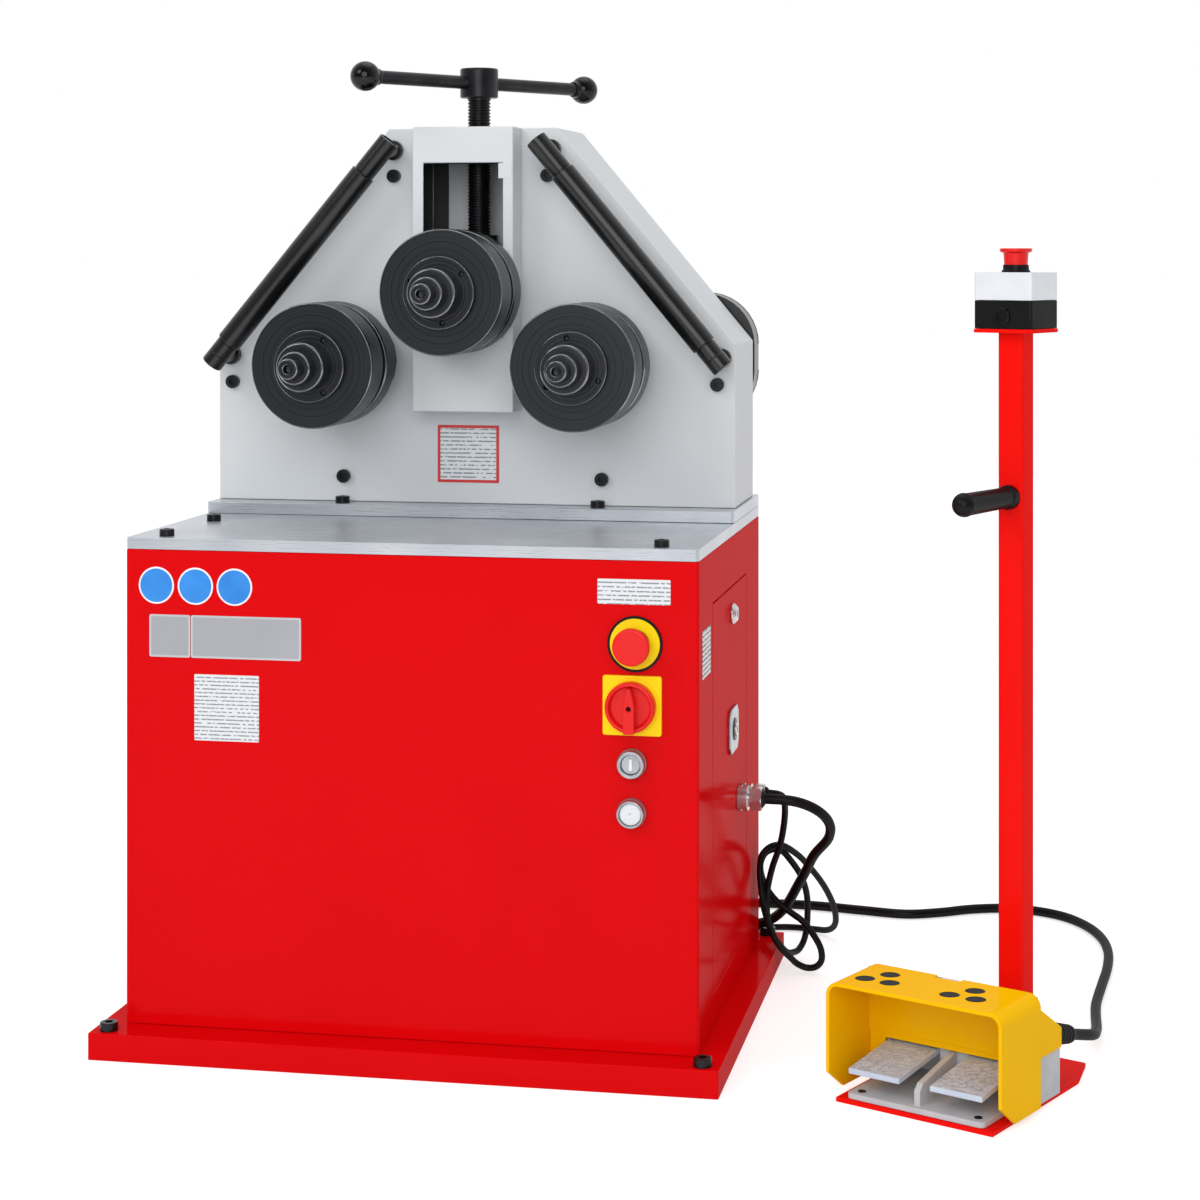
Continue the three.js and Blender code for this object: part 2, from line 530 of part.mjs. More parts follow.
// The screw turns in the nut, and its foot is trapped in the carriage.
function leadScrew(group) {
  const { foot, footRadius, footClearance, radius, socket } = SCREW;
  const floor = upperZ + CARRIAGE.above + CARRIAGE.capHeight / 2 - foot - footClearance;
  const top = headTop + HUB.above + socket;
  const outline = [
    [0, floor], [footRadius, floor], [footRadius, floor + foot], [radius, floor + foot], [radius, top],
    [0, top],
  ];
  const body = turned(outline, "z", [0, screwY, 0], MEDIUM);
  piece(group, "lead_screw", body, "blackSteel");
}

// The T-handle: hub, cross bar and two ball knobs, turned with the screw.
function handle(group) {
  const turn = new THREE.Group();
  turn.position.set(0, screwY, headTop + HUB.above);
  turn.rotation.z = BAR.turn * degrees;
  group.add(turn);
  const { radius, height, chamfer } = HUB;
  const outline = [
    [0, 0], [radius - chamfer, 0], [radius, chamfer], [radius, height - chamfer], [radius - chamfer, height],
    [0, height],
  ];
  const hub = turned(outline, "z", HERE, MEDIUM);
  const socket = rod(SCREW.radius + SEAT, [-OVERRUN, SCREW.socket + SEAT], "z", HERE, MEDIUM);
  const barZ = height / 2;
  const crossHole = rod(BAR.radius + SEAT, past(centred(2 * radius)), "x", [0, 0, barZ], COARSE);
  piece(turn, "handle_hub", cut(hub, socket, crossHole), "blackSteel");
  const barEnd = BAR.halfLength - KNOB.radius + KNOB.socket;
  piece(turn, "handle_bar", rod(BAR.radius, [-barEnd, barEnd], "x", [0, 0, barZ], COARSE), "blackSteel");
  for (const [name, way] of [["knob_left", -1], ["knob_right", 1]]) {
    const ball = solid(new THREE.SphereGeometry(KNOB.radius, COARSE, SMALL));
    const socketX = [-KNOB.radius - OVERRUN, KNOB.socket - KNOB.radius + SEAT];
    const hole = rod(BAR.radius + SEAT, socketX, "x", HERE, COARSE);
    const knob = cut(ball, hole);
    const mesh = piece(turn, name, knob, "blackPaint", [way * BAR.halfLength, 0, barZ]);
    mesh.rotation.z = way < 0 ? Math.PI : 0;
  }
}

// The front roller carries the groove's core behind its disc.
function frontRoller() {
  const { radius, front, groove, grooveRadius, edge } = ROLLER;
  const bore = SHAFT.radius + SEAT;
  return turned(
    [
      [bore, 0], [radius - edge, 0], [radius, edge], [radius, front - edge], [radius - edge, front],
      [grooveRadius, front], [grooveRadius, front + groove], [bore, front + groove], [bore, 0],
    ],
    "y",
    [0, rollerFront, 0],
    FINE,
  );
}

function rearRoller() {
  const { radius, rear, edge } = ROLLER;
  const bore = SHAFT.radius + SEAT;
  const outline = [
    [bore, SEAT], [radius - edge, SEAT], [radius, edge], [radius, rear - edge], [radius - edge, rear],
    [bore, rear], [bore, SEAT],
  ];
  return turned(outline, "y", [0, rollerBack - rear, 0], FINE);
}

// How far the first pin hole is turned, as a share of the step between two.
const PIN_START_SHARE = 1 / 4;

// The clamp nut: a ring with pin holes for its spanner, and a smaller round nut in front.
function clampNut() {
  const { ring, ringLength, nut, nutLength, chamfer } = CLAMP;
  const bore = SHAFT.radius + SEAT;
  const back = rollerFront - SEAT;
  const ringFace = rollerFront - ringLength;
  const body = turned(
    [
      [bore, clampFront], [nut - chamfer, clampFront], [nut, clampFront + chamfer], [nut, ringFace],
      [ring - chamfer, ringFace], [ring, ringFace + chamfer], [ring, back], [bore, back], [bore, clampFront],
    ],
    "y", HERE, MEDIUM,
  );
  const holes = Array.from({ length: CLAMP.pins }, (_, i) => {
    const angle = ((i + PIN_START_SHARE) / CLAMP.pins) * 2 * Math.PI;
    const at = [CLAMP.pinCircle * Math.cos(angle), 0, CLAMP.pinCircle * Math.sin(angle)];
    return rod(CLAMP.pinHole, [ringFace - OVERRUN, ringFace + CLAMP.pinDepth], "y", at, TINY);
  });
  return cut(body, ...holes);
}

// A shaft with its stepped nose and the bolt end that closes the stack of rollers.
function rollerShaft(rear) {
  const { radius, nose, noseLength, tip, tipLength, tipHole, tipHoleDepth, chamfer } = SHAFT;
  const noseFront = clampFront - noseLength;
  const tipFront = noseFront - tipLength;
  const body = turned(
    [
      [0, tipFront], [tip - chamfer, tipFront], [tip, tipFront + chamfer], [tip, noseFront],
      [nose - chamfer, noseFront], [nose, noseFront + chamfer], [nose, clampFront], [radius, clampFront],
      [radius, rear], [0, rear],
    ],
    "y", HERE, MEDIUM,
  );
  return cut(body, rod(tipHole, [tipFront - OVERRUN, tipFront + tipHoleDepth], "y", HERE, SMALL));
}

function rollerSet(group, name, [x, z], shaftRear) {
  const set = new THREE.Group();
  set.position.set(x, 0, z);
  group.add(set);
  piece(set, name + "_shaft", rollerShaft(shaftRear), "blackSteel");
  piece(set, name + "_front_roller", frontRoller(), "blackSteel");
  piece(set, name + "_rear_roller", rearRoller(), "blackSteel");
  piece(set, name + "_clamp_nut", clampNut(), "blackSteel");
}

// A flanged cartridge that stands out of the head's face and carries a lower shaft.
function bearingHousing(group, name, x) {
  const nose = rollerBack + BEARING.clearance;
  const { radius, flangeRadius, flange, length } = BEARING;
  const seat = headFront - SEAT;
  const spigot = radius - flange;
  const body = turned(
    [
      [0, nose], [radius, nose], [radius, seat - flange], [flangeRadius, seat - flange], [flangeRadius, seat],
      [spigot, seat], [spigot, nose + length], [0, nose + length],
    ],
    "y", HERE, MEDIUM,
  );
  const bore = rod(SHAFT.radius + RUNNING, past([nose, nose + length]), "y", HERE, BORE);
  piece(group, name, cut(body, bore), "blackSteel", [x, 0, lowerZ]);
}

// A straight-flanked spur gear round the Y axis. A tooth points along +X when the phase is 0.
function spurGear(teeth, phase) {
  const pitchRadius = (toothModule * teeth) / 2;
  const outer = pitchRadius + toothModule * TOOTH_SHARES.addendum;
  const inner = pitchRadius - toothModule * TOOTH_SHARES.dedendum;
  const pitch = (2 * Math.PI) / teeth;
  const slack = GEAR.backlash / pitchRadius;
  const points = [];
  for (let i = 0; i < teeth; i++) {
    const middle = (i + phase) * pitch;
    const root = (TOOTH_SHARES.rootWidth * pitch - slack) / 2;
    const tip = (TOOTH_SHARES.tipWidth * pitch - slack / 2) / 2;
    for (const [r, a] of [[inner, -root], [outer, -tip], [outer, tip], [inner, root]]) {
      points.push([r * Math.cos(middle + a), r * Math.sin(middle + a)]);
    }
  }
  return prism(points, "y", gearY);
}

// The two driven gears sit on the lower shafts, the idler on the cover's pin, and the pinion drives.
function gearTrain(group) {
  const bore = SHAFT.radius + SEAT;
  const hubSpan = [gearY[0] - GEAR_HUB.length, gearY[0] + SEAT];
  for (const [name, x] of [["gear_left", -lowerX], ["gear_right", lowerX]]) {
    const hub = rod(GEAR_HUB.radius, hubSpan, "y", HERE, MEDIUM);
    const hole = rod(bore, past([hubSpan[0], gearY[1]]), "y", HERE, MEDIUM);
    piece(group, name, cut(join(spurGear(GEAR.teeth, 0), hub), hole), "steel", [x, 0, lowerZ]);
  }
  const idlerHole = rod(GEAR.idlerBore + RUNNING, past(gearY), "y", HERE, FINE);
  piece(group, "idler_gear", cut(spurGear(GEAR.teeth, HALF_SHARE), idlerHole), "steel", [0, 0, lowerZ]);
  const stubEnd = coverRear + GEARBOX.boreDepth - RUNNING;
  const stub = rod(GEAR.pinionShaft, [gearY[0], stubEnd], "y", HERE, MEDIUM);
  piece(group, "drive_pinion", join(spurGear(GEAR.pinionTeeth, 0), stub), "steel", [pinionX, 0, lowerZ]);
}

// The plate that closes the head's back: bosses for the shafts' ends, the idler's pin and the pinion's hole.
function rearCover(group) {
  const y = [headRear + SEAT, coverRear];
  const { bossWall, bossDepth, inset } = REAR_COVER;
  const plate = prism(house(inset), "y", y);
  const bossY = [gearY[1] + SEAT, y[1]];
  const boreY = [headRear - bossDepth - OVERRUN, shaftEnd() + SEAT];
  const shafts = [[-lowerX, 0, lowerZ], [lowerX, 0, lowerZ]];
  const bosses = shafts.map((at) => rod(SHAFT.radius + bossWall, bossY, "y", at, MEDIUM));
  const bores = shafts.map((at) => rod(SHAFT.radius + RUNNING, boreY, "y", at, BORE));
  const pin = rod(GEAR.idlerBore, [gearY[0], y[1]], "y", [0, 0, lowerZ], MEDIUM);
  const shoulder = rod(GEAR.idlerBore + bossWall, bossY, "y", [0, 0, lowerZ], MEDIUM);
  const hole = rod(GEAR.pinionShaft + RUNNING, past(y), "y", [pinionX, 0, lowerZ], FINE);
  const body = cut(join(plate, ...bosses, pin, shoulder), ...bores, hole);
  piece(group, "rear_cover", body, "castGrey");
}

const shaftEnd = () => headRear - RUNNING;

// An upright obround outline.
function obround(radius, half, [x, z]) {
  const shape = new THREE.Shape();
  shape.absarc(x, z + half - radius, radius, 0, Math.PI);
  shape.absarc(x, z - half + radius, radius, Math.PI, 2 * Math.PI);
  shape.closePath();
  return shape;
}

// The gear motor: an obround reduction box with a bevelled rim, and the finned motor lying behind the head.
function gearMotor(group) {
  const { radius, halfHeight: half, depth, bevel, rearRadius, rearDepth, boreDepth } = GEARBOX;
  const at = [pinionX, lowerZ];
  const start = coverRear + SEAT;
  const rim = new THREE.ExtrudeGeometry(obround(radius - bevel, half - bevel, at), {
    depth: SEAT,
    bevelThickness: bevel,
    bevelSize: bevel,
    bevelSegments: 1,
    curveSegments: SMALL,
  });
  rim.applyMatrix4(PLANES.y).translate(0, coverRear + depth - bevel, 0);
  const front = prism(obround(radius, half, at), "y", [start, coverRear + depth - bevel - SEAT / 2], SMALL);
  const rearEnd = coverRear + depth + rearDepth;
  const rear = prism(obround(rearRadius, half - radius + rearRadius, at), "y", [start, rearEnd], TINY);
  const x = [motorEnd, motorEnd + MOTOR.flange + OVERRUN];
  const axis = [0, motorY, lowerZ];
  const flange = rod(MOTOR.flangeRadius, x, "x", axis, MEDIUM);
  const end = x[0] - MOTOR.body;
  const ribs = [];
  const count = Math.round(MOTOR.body / MOTOR.pitch);
  for (let i = 0; i < count; i++) {
    const from = end + i * MOTOR.pitch;
    const middle = from + MOTOR.pitch / 2;
    ribs.push([MOTOR.radius, from], [MOTOR.radius, middle]);
    ribs.push([MOTOR.root, middle], [MOTOR.root, from + MOTOR.pitch]);
  }
  const body = turned([[0, end], ...ribs, [0, x[0]]], "x", axis, COARSE);
  const cowl = turned(
    [
      [0, end - MOTOR.cowl], [MOTOR.cowlRadius - MOTOR.flange, end - MOTOR.cowl],
      [MOTOR.cowlRadius, end - MOTOR.cowl + MOTOR.flange], [MOTOR.cowlRadius, end + OVERRUN],
      [0, end + OVERRUN],
    ],
    "x", axis, MEDIUM,
  );
  const { width, depth: boxDepth, entryRadius, entry } = TERMINAL;
  const boxX = [terminalX - width / 2, terminalX + width / 2];
  const boxY = [motorY - boxDepth / 2, motorY + boxDepth / 2];
  const boxZ = [entryZ + entry, lowerZ - MOTOR.radius + MOTOR.flange];
  const box = prism(rounded(boxX, boxY, CABINET.corner), "z", boxZ);
  const nipple = rod(entryRadius, [entryZ, boxZ[0] + OVERRUN], "z", [terminalX, motorY, 0], COARSE);
  const boreY = [start - OVERRUN, coverRear + boreDepth];
  const bore = rod(GEAR.pinionShaft + RUNNING, boreY, "y", [pinionX, 0, lowerZ], FINE);
  const motor = join(body, flange, cowl, box, nipple);
  piece(group, "gear_motor", cut(join(front, solid(rim), rear, motor), bore), "blackPaint");
}

// Places inside the head's upper corners and inside its shoulders.
const shoulderZ = headBottom + HEAD.shoulder;
const onTop = ({ inside, below }) => ({ x: HEAD.topWidth / 2 - inside, z: headTop - below });
const onShoulder = ({ inside, below }) => ({ x: headWidth / 2 - inside, z: shoulderZ - below });

// A black tube on two studs along one shoulder: a thicker middle between two sleeves.
function shoulderBar(group, name, way) {
  const y = headFront - TUBE.ahead;
  const ends = [onTop(TUBE_TOP), onShoulder(TUBE_BOTTOM)];
  const [top, bottom] = ends.map(({ x, z }) => new THREE.Vector3(way * x, y, z));
  const along = new THREE.Vector3().subVectors(top, bottom);
  const length = along.length();
  const { radius, sleeveRadius, topSleeve, bottomSleeve, footRadius, headRadius, headLength } = TUBE;
  const profile = [
    [0, 0], [sleeveRadius, 0], [sleeveRadius, bottomSleeve], [radius, bottomSleeve],
    [radius, length - topSleeve], [sleeveRadius, length - topSleeve], [sleeveRadius, length], [0, length],
  ];
  const lathe = new THREE.LatheGeometry(profile.map(([r, h]) => new THREE.Vector2(r, h)), MEDIUM);
  const turn = new THREE.Quaternion().setFromUnitVectors(new THREE.Vector3(0, 1, 0), along.normalize());
  lathe.applyQuaternion(turn).translate(bottom.x, bottom.y, bottom.z);
  const seat = headFront - SEAT;
  const studs = [onTop(STUD_TOP), onShoulder(STUD_BOTTOM)].flatMap(({ x, z }) => [
    rod(footRadius, [y, seat], "y", [way * x, 0, z], COARSE),
    rod(headRadius, [seat - headLength, seat], "y", [way * x, 0, z], COARSE),
  ]);
  piece(group, name, join(solid(lathe), ...studs), "blackPaint");
}

// A group on the cabinet's front, whose +Y points out of the panel towards the operator.
function frontControl(group, { fromSide, fromTop }) {
  const place = new THREE.Group();
  place.position.set(cabinetSide - fromSide, cabinetFront, cabinetTop - fromTop);
  place.rotation.z = Math.PI;
  group.add(place);
  return place;
}

// A mushroom button on its legend disc and collar.
function panelEmergencyStop(group) {
  const place = frontControl(group, ESTOP);
  const { disc, sheet, collar, collarLength, cap, capLength, stem, travel } = ESTOP;
  const face = sheet + collarLength;
  const base = turned(
    [
      [stem + SEAT, SEAT], [disc, SEAT], [disc, sheet], [collar, sheet], [collar, face], [stem + SEAT, face],
      [stem + SEAT, SEAT],
    ],
    "y", HERE, MEDIUM,
  );
  piece(place, "estop_base", base, "yellow");
  const { round, gap } = ESTOP_CAP;
  const under = face + travel + gap;
  const top = under + capLength;
  const mushroom = turned(
    [
      [0, travel + SEAT], [stem, travel + SEAT], [stem, under], [cap - round, under], [cap, under + round],
      [cap, top - round], [cap - round, top], [0, top],
    ],
    "y", HERE, MEDIUM,
  );
  piece(place, "estop_mushroom", mushroom, "redPlastic");
}

// The main switch: a square plate with a raised ring, and the round knob with its pointed grip.
function mainSwitch(group) {
  const place = frontControl(group, SWITCH);
  const { side, sheet, ring, ringLength, corner } = SWITCH;
  const plate = prism(rounded(centred(side), centred(side), corner), "y", [SEAT, sheet]);
  const raised = rod(ring, [sheet - SEAT, sheet + ringLength], "y", HERE, FINE);
  const knobBack = sheet + ringLength + SEAT;
  const { radius, rim, depth, floor, grip, gripLength, taper, tail, tip, hole } = SWITCH_KNOB;
  const stem = rod(grip / 2 - SEAT, [SEAT, knobBack + floor], "y", HERE, COARSE);
  const socket = rod(grip / 2 + RUNNING, [-OVERRUN, knobBack + OVERRUN], "y", HERE, COARSE);
  piece(place, "switch_plate", cut(join(plate, raised), socket), "yellow");
  const rimFront = knobBack + depth;
  const cup = turned(
    [
      [0, knobBack], [radius, knobBack], [radius, rimFront - rim / 2], [radius - rim / 2, rimFront],
      [radius - rim, rimFront], [radius - rim, knobBack + floor], [0, knobBack + floor],
    ],
    "y", HERE, FINE,
  );
  const outline = [
    [-grip / 2, taper - tail], [grip / 2, taper - tail], [grip / 2, taper], [taper / 2, tip + taper],
    [-taper / 2, tip + taper], [-grip / 2, taper],
  ];
  const gripFront = knobBack + gripLength - floor;
  const handle = prism(outline, "y", [knobBack + floor - SEAT, gripFront]);
  const pinHole = rod(hole, past([gripFront - floor, gripFront]), "y", HERE, COARSE);
  piece(place, "switch_knob", cut(join(cup, handle, stem), pinHole), "redPlastic");
}

// A push button: the turned bezel, and the cap that travels in it.
function pushButton(group, name, place, finish, relief) {
  const at = frontControl(group, place);
  const { bezel, bezelFront, height, recess, travel } = BUTTON;
  const { bore, cap } = place;
  const ring = turned(
    [
      [bore, SEAT], [bezel, SEAT], [bezel, height / 2], [bezelFront, height - SEAT],
      [bezelFront - 2 * SEAT, height], [bore + 2 * SEAT, height], [bore, height - 2 * SEAT], [bore, SEAT],
    ],
    "y", HERE, MEDIUM,
  );
  piece(at, name + "_bezel", ring, "chrome");
  const face = height - recess;
  const body = join(rod(cap, [travel + 2 * SEAT, face], "y", HERE, MEDIUM), relief(face));
  piece(at, name + "_button", body, finish);
}

function buttons(group) {
  const { barWidth, bar: barLength, barHeight } = BUTTON;
  const bar = (face) => block(centred(barWidth), [face - SEAT, face + barHeight], centred(barLength));
  pushButton(group, "start", START, "chrome", bar);
  const crown = (face) => {
    const { cap, crown: rise } = RESET;
    const outline = [[0, face - SEAT], [cap, face - SEAT], [cap - rise, face + rise], [0, face + rise]];
    return turned(outline, "y", HERE, MEDIUM);
  };
  pushButton(group, "reset", RESET, "whitePlastic", crown);
}

function floorPlate(group) {
  const { width, depth, thickness, cutWidth, cutDepth } = FLOOR_PLATE;
  const side = width / 2;
  const rear = depth / 2;
  const outline = [
    [-side, -rear], [side, -rear], [side, rear - cutDepth], [side - cutWidth, rear], [cutWidth - side, rear],
    [-side, rear - cutDepth],
  ];
  piece(group, "floor_plate", prism(outline, "z", [0, thickness]), "red");
}

// The post with its cap plate, a square tube that is open at the foot.
function post(group) {
  const { side, y, top, corner } = POST;
  const span = [y - side / 2, y + side / 2];
  const foot = FLOOR_PLATE.thickness + SEAT;
  const tube = prism(rounded(centred(side), span, corner), "z", [foot, top], SMALL_CORNER_STEPS);
  const { width, depth, thickness } = CAP_PLATE;
  const plate = rounded(centred(width), [y - depth / 2, y + depth / 2], corner);
  const cap = prism(plate, "z", [top - SEAT, top + thickness], SMALL_CORNER_STEPS);
  piece(group, "post", join(tube, cap), "red");
}

// The pedal body: a floor, the divider between the pedals, the rear housing and the hinge axle.
function pedalBase(group) {
  const { width, front, thickness, rear, rearHeight, rearStart, corner } = BASE;
  const floor = FLOOR_PLATE.thickness + SEAT;
  const top = floor + thickness;
  const pan = prism(rounded(centred(width), [front, rearStart + corner], corner), "z", [floor, top]);
  const back = block(centred(HOUSING.width - HOOD.wall), [rearStart, rear], [floor, rearHeight]);
  const { thickness: web, front: webFront, frontHeight, rearHeight: webRear } = DIVIDER;
  const outline = [
    [webFront, floor], [rearStart + corner, floor], [rearStart + corner, webRear],
    [webFront + web, frontHeight], [webFront, frontHeight - web],
  ];
  const divider = prism(outline, "x", centred(web));
  const pocket = (way) => {
    const [near, far] = [PEDAL.gap - SEAT, PEDAL.gap + PEDAL.width + SEAT];
    const x = way < 0 ? [-far, -near] : [near, far];
    return block(x, [rearStart - OVERRUN, AXLE.y + 3 * PEDAL.hinge], [top, rearHeight + OVERRUN]);
  };
  const axle = rod(AXLE.radius, centred(width), "x", [0, AXLE.y, AXLE.z], COARSE);
  piece(group, "pedal_base", join(cut(join(pan, back, divider), pocket(-1), pocket(1)), axle), "greyPlastic");
}

// A pedal: a sloping plate with its hinge barrel on the axle.
function pedal(group, name, way) {
  const { width, gap, front, thickness, frontZ, rise, hinge } = PEDAL;
  const x = way < 0 ? [-gap - width, -gap] : [gap, gap + width];
  const rear = AXLE.y - hinge / 2;
  const rearZ = frontZ + rise;
  const outline = [[front, frontZ - thickness], [rear, rearZ - thickness], [rear, rearZ], [front, frontZ]];
  const plate = prism(outline, "x", x);
  const barrel = rod(hinge, x, "x", [0, AXLE.y, AXLE.z], COARSE);
  const bore = rod(AXLE.radius + RUNNING, past(x), "x", [0, AXLE.y, AXLE.z], COARSE);
  piece(group, name, cut(join(plate, barrel), bore), "greyPlastic");
}

// The guard: a moulded hood over the pedals, whose side flaps end in points, with the sloping rear housing.
function guard(group) {
  const { width, front, back, top, wall, corner, edge, tipY, tipZ } = HOOD;
  const arch = (inset) => {
    const side = width / 2 - inset;
    const radius = corner - inset;
    const shape = new THREE.Shape();
    shape.moveTo(side, 0);
    shape.lineTo(side, top - inset - radius);
    shape.absarc(side - radius, top - inset - radius, radius, 0, Math.PI / 2);
    shape.absarc(radius - side, top - inset - radius, radius, Math.PI / 2, Math.PI);
    shape.lineTo(-side, 0);
    shape.closePath();
    return shape;
  };
  const outer = prism(arch(0), "y", [front, back]);
  const inner = prism(arch(wall), "y", [front - OVERRUN, back + OVERRUN]);
  const behind = back + OVERRUN;
  const under = [
    [front - OVERRUN, -OVERRUN], [front, edge], [tipY, tipZ], [behind, tipZ], [behind, -OVERRUN],
  ];
  const trim = prism(under, "x", past(centred(width)));
  const lower = block(past(centred(width)), [front - 2 * OVERRUN, front], [0, edge]);
  const hood = cut(outer, inner, trim, lower);
  const { width: rearWidth, shoulder, rearTop, rearBottom, rear } = HOUSING;
  const profile = [
    [back - wall, rearBottom], [rear, rearBottom], [rear, rearTop], [back, shoulder],
    [back, top - wall - SEAT], [back - wall, top - wall + SEAT],
  ];
  const housing = prism(profile, "x", centred(width - 2 * wall + 2 * SEAT));
  const flanks = [-1, 1].map((way) => {
    const x = way < 0 ? [-width / 2 - OVERRUN, -rearWidth / 2] : [rearWidth / 2, width / 2 + OVERRUN];
    return block(x, [back, rear + OVERRUN], [0, top]);
  });
  const inside = [
    [back - wall / 2, rearBottom - OVERRUN], [rear - wall, rearBottom - OVERRUN],
    [rear - wall, rearTop - wall], [back, shoulder - wall], [back - wall / 2, shoulder - wall],
  ];
  const cavity = prism(inside, "x", centred(rearWidth - 2 * wall));
  const notchX = [NOTCH.x - NOTCH.width / 2, NOTCH.x + NOTCH.width / 2];
  const notch = block(notchX, [back - NOTCH.depth, behind], [shoulder, top + OVERRUN]);
  const mouthZ = [rearBottom - OVERRUN, rearBottom + SEAT];
  const mouth = block(centred(rearWidth - 2 * wall), [back - 2 * wall, back + wall], mouthZ);
  piece(group, "guard", cut(join(hood, cut(housing, ...flanks)), cavity, notch, mouth), "yellow");
}

function grip(group) {
  const face = POST.y - POST.side / 2 - SEAT;
  const { length, rootRadius, endRadius, ball, z } = GRIP;
  const end = face - length + ball;
  const dome = Array.from({ length: CORNER_STEPS + 1 }, (_, i) => {
    const angle = (i / CORNER_STEPS) * (Math.PI / 2);
    return [ball * Math.sin(angle), end - ball * Math.cos(angle)];
  });
  const outline = [...dome, [ball, end + SEAT], [endRadius, end + SEAT], [rootRadius, face], [0, face]];
  piece(group, "grip", turned(outline, "y", HERE, COARSE), "rubber", [0, 0, z]);
}

// The emergency-stop box on the post: lower half with its round plug, upper half with the neck, and the
// button.
function postEmergencyStop(group) {
  const { width, depth, halfHeight: half, corner } = BOX;
  const x = centred(width);
  const y = [POST.y - depth / 2, POST.y + depth / 2];
  const bottom = POST.top + CAP_PLATE.thickness + SEAT;
  const middle = bottom + half;
  const top = middle + half;
  const { radius, length, hollow, hollowDepth } = PLUG;
  const plug = cut(
    rod(radius, [y[0] - length, y[0] + OVERRUN], "y", [0, 0, PLUG.z], MEDIUM),
    rod(hollow, [y[0] - length - OVERRUN, y[0] - length + hollowDepth], "y", [0, 0, PLUG.z], MEDIUM),
  );
  const lower = prism(rounded(x, y, corner), "z", [bottom, middle], SMALL_CORNER_STEPS);
  piece(group, "estop_box", join(lower, plug), "rubber");
  const { neck, neckFoot, neckLength, root, rim, height, rimLength, stem, travel } = POST_ESTOP;
  const cover = prism(rounded(x, y, corner), "z", [middle + SEAT, top], SMALL_CORNER_STEPS);
  const over = [0, POST.y, 0];
  const neckTop = top + neckLength - travel;
  const outline = [[0, top - SEAT], [neckFoot, top - SEAT], [neck, neckTop], [0, neckTop]];
  const collar = turned(outline, "z", over, MEDIUM);
  const bore = rod(stem + SEAT, [middle + half / 2, neckTop + OVERRUN], "z", over, COARSE);
  piece(group, "estop_box_cover", cut(join(cover, collar), bore), "whitePlastic");
  const under = top + neckLength + SEAT;
  const stemFoot = middle + half / 2 + travel + SEAT;
  const crown = under + height;
  const cap = turned(
    [
      [0, stemFoot], [stem, stemFoot], [stem, under], [root, under], [root + SEAT, under + height / 2],
      [rim, crown - rimLength], [rim, crown - SEAT], [rim - 2 * SEAT, crown], [0, crown],
    ],
    "z", over, MEDIUM,
  );
  piece(group, "post_mushroom", cap, "redPlastic");
}

// The ribbed rubber boot that the pedal cable goes into, tilted down from the housing's back.
function cableBoot(group) {
  const { x, z, tilt, radius, tip, length, ribs, ribDepth, collarLength, flange, bore } = BOOT;
  const outline = [[0, -radius], [flange, -radius], [flange, collarLength]];
  const step = (length - collarLength - ribDepth) / ribs;
  for (let i = 0; i < ribs; i++) {
    const from = collarLength + i * step;
    const r = radius + ((tip - radius) * i) / ribs;
    const { root, top, end } = RIB_SHARES;
    outline.push([r - ribDepth, from + root * step], [r, from + top * step], [r, from + end * step]);
  }
  outline.push([tip, length], [0, length]);
  const form = turned(outline, "y", HERE, COARSE);
  const mouth = rod(bore, [length - 2 * ribDepth, length + OVERRUN], "y", HERE, COARSE);
  const placed = cut(form, mouth).rotate([-tilt, 0, 0]).translate([x, HOUSING.rear, z]);
  const around = (middle) => [middle - 2 * radius, middle + 2 * radius];
  const trim = block(around(x), [HOUSING.rear - 2 * radius, HOUSING.rear + SEAT], around(z));
  piece(group, "cable_boot", cut(placed, trim), "rubber");
}

// How finely a curve's length is measured, per point.
const CURVE_STEPS = 20;

// The points of a list, moved to where the list is measured from.
function route(points, from) {
  return points.map((point) => new THREE.Vector3(...point).add(from));
}

// A round tube along a smooth curve through the points.
function cable(group, name, points, { radius, steps, sides }) {
  const curve = new THREE.CatmullRomCurve3(points, false, "centripetal");
  curve.arcLengthDivisions = CURVE_STEPS * points.length;
  const section = new THREE.Shape();
  for (let i = 0; i < sides; i++) {
    const angle = (i / sides) * 2 * Math.PI;
    const at = [radius * Math.cos(angle), radius * Math.sin(angle)];
    if (i) section.lineTo(...at);
    else section.moveTo(...at);
  }
  const tube = new THREE.ExtrudeGeometry(section, { steps, extrudePath: curve, bevelEnabled: false });
  piece(group, name, solid(tube), "rubber");
  return curve;
}

// The least gap between two stretches of one cable that aren't neighbours along it.
function leastGap(curve, radius) {
  const points = curve.getSpacedPoints(Math.round(curve.getLength() / radius));
  const apart = Math.ceil(3 * Math.PI);
  let least = Infinity;
  for (let i = 0; i < points.length; i++) {
    for (let j = i + apart; j < points.length; j++) least = Math.min(least, points[i].distanceTo(points[j]));
  }
  return least - 2 * radius;
}

const machine = new THREE.Group();
plinth(machine);
cabinetShell(machine);
accessPanel(machine);
panelLock(machine);
gland(machine, "cable_gland", "chrome", GLAND);
gland(machine, "lead_gland", "blackSteel", LEAD_GLAND);
plates(machine);
headCasting(machine);
rearCover(machine);
slideGuide(machine);
screwNut(machine);
carriage(machine);
leadScrew(machine);
handle(machine);
rollerSet(machine, "upper", [0, upperZ], screwY + UPPER.run - COLUMN.back);
rollerSet(machine, "left", [-lowerX, lowerZ], shaftEnd());
rollerSet(machine, "right", [lowerX, lowerZ], shaftEnd());
bearingHousing(machine, "bearing_housing_left", -lowerX);
bearingHousing(machine, "bearing_housing_right", lowerX);
gearTrain(machine);
gearMotor(machine);
shoulderBar(machine, "shoulder_bar_left", -1);
shoulderBar(machine, "shoulder_bar_right", 1);
panelEmergencyStop(machine);
mainSwitch(machine);
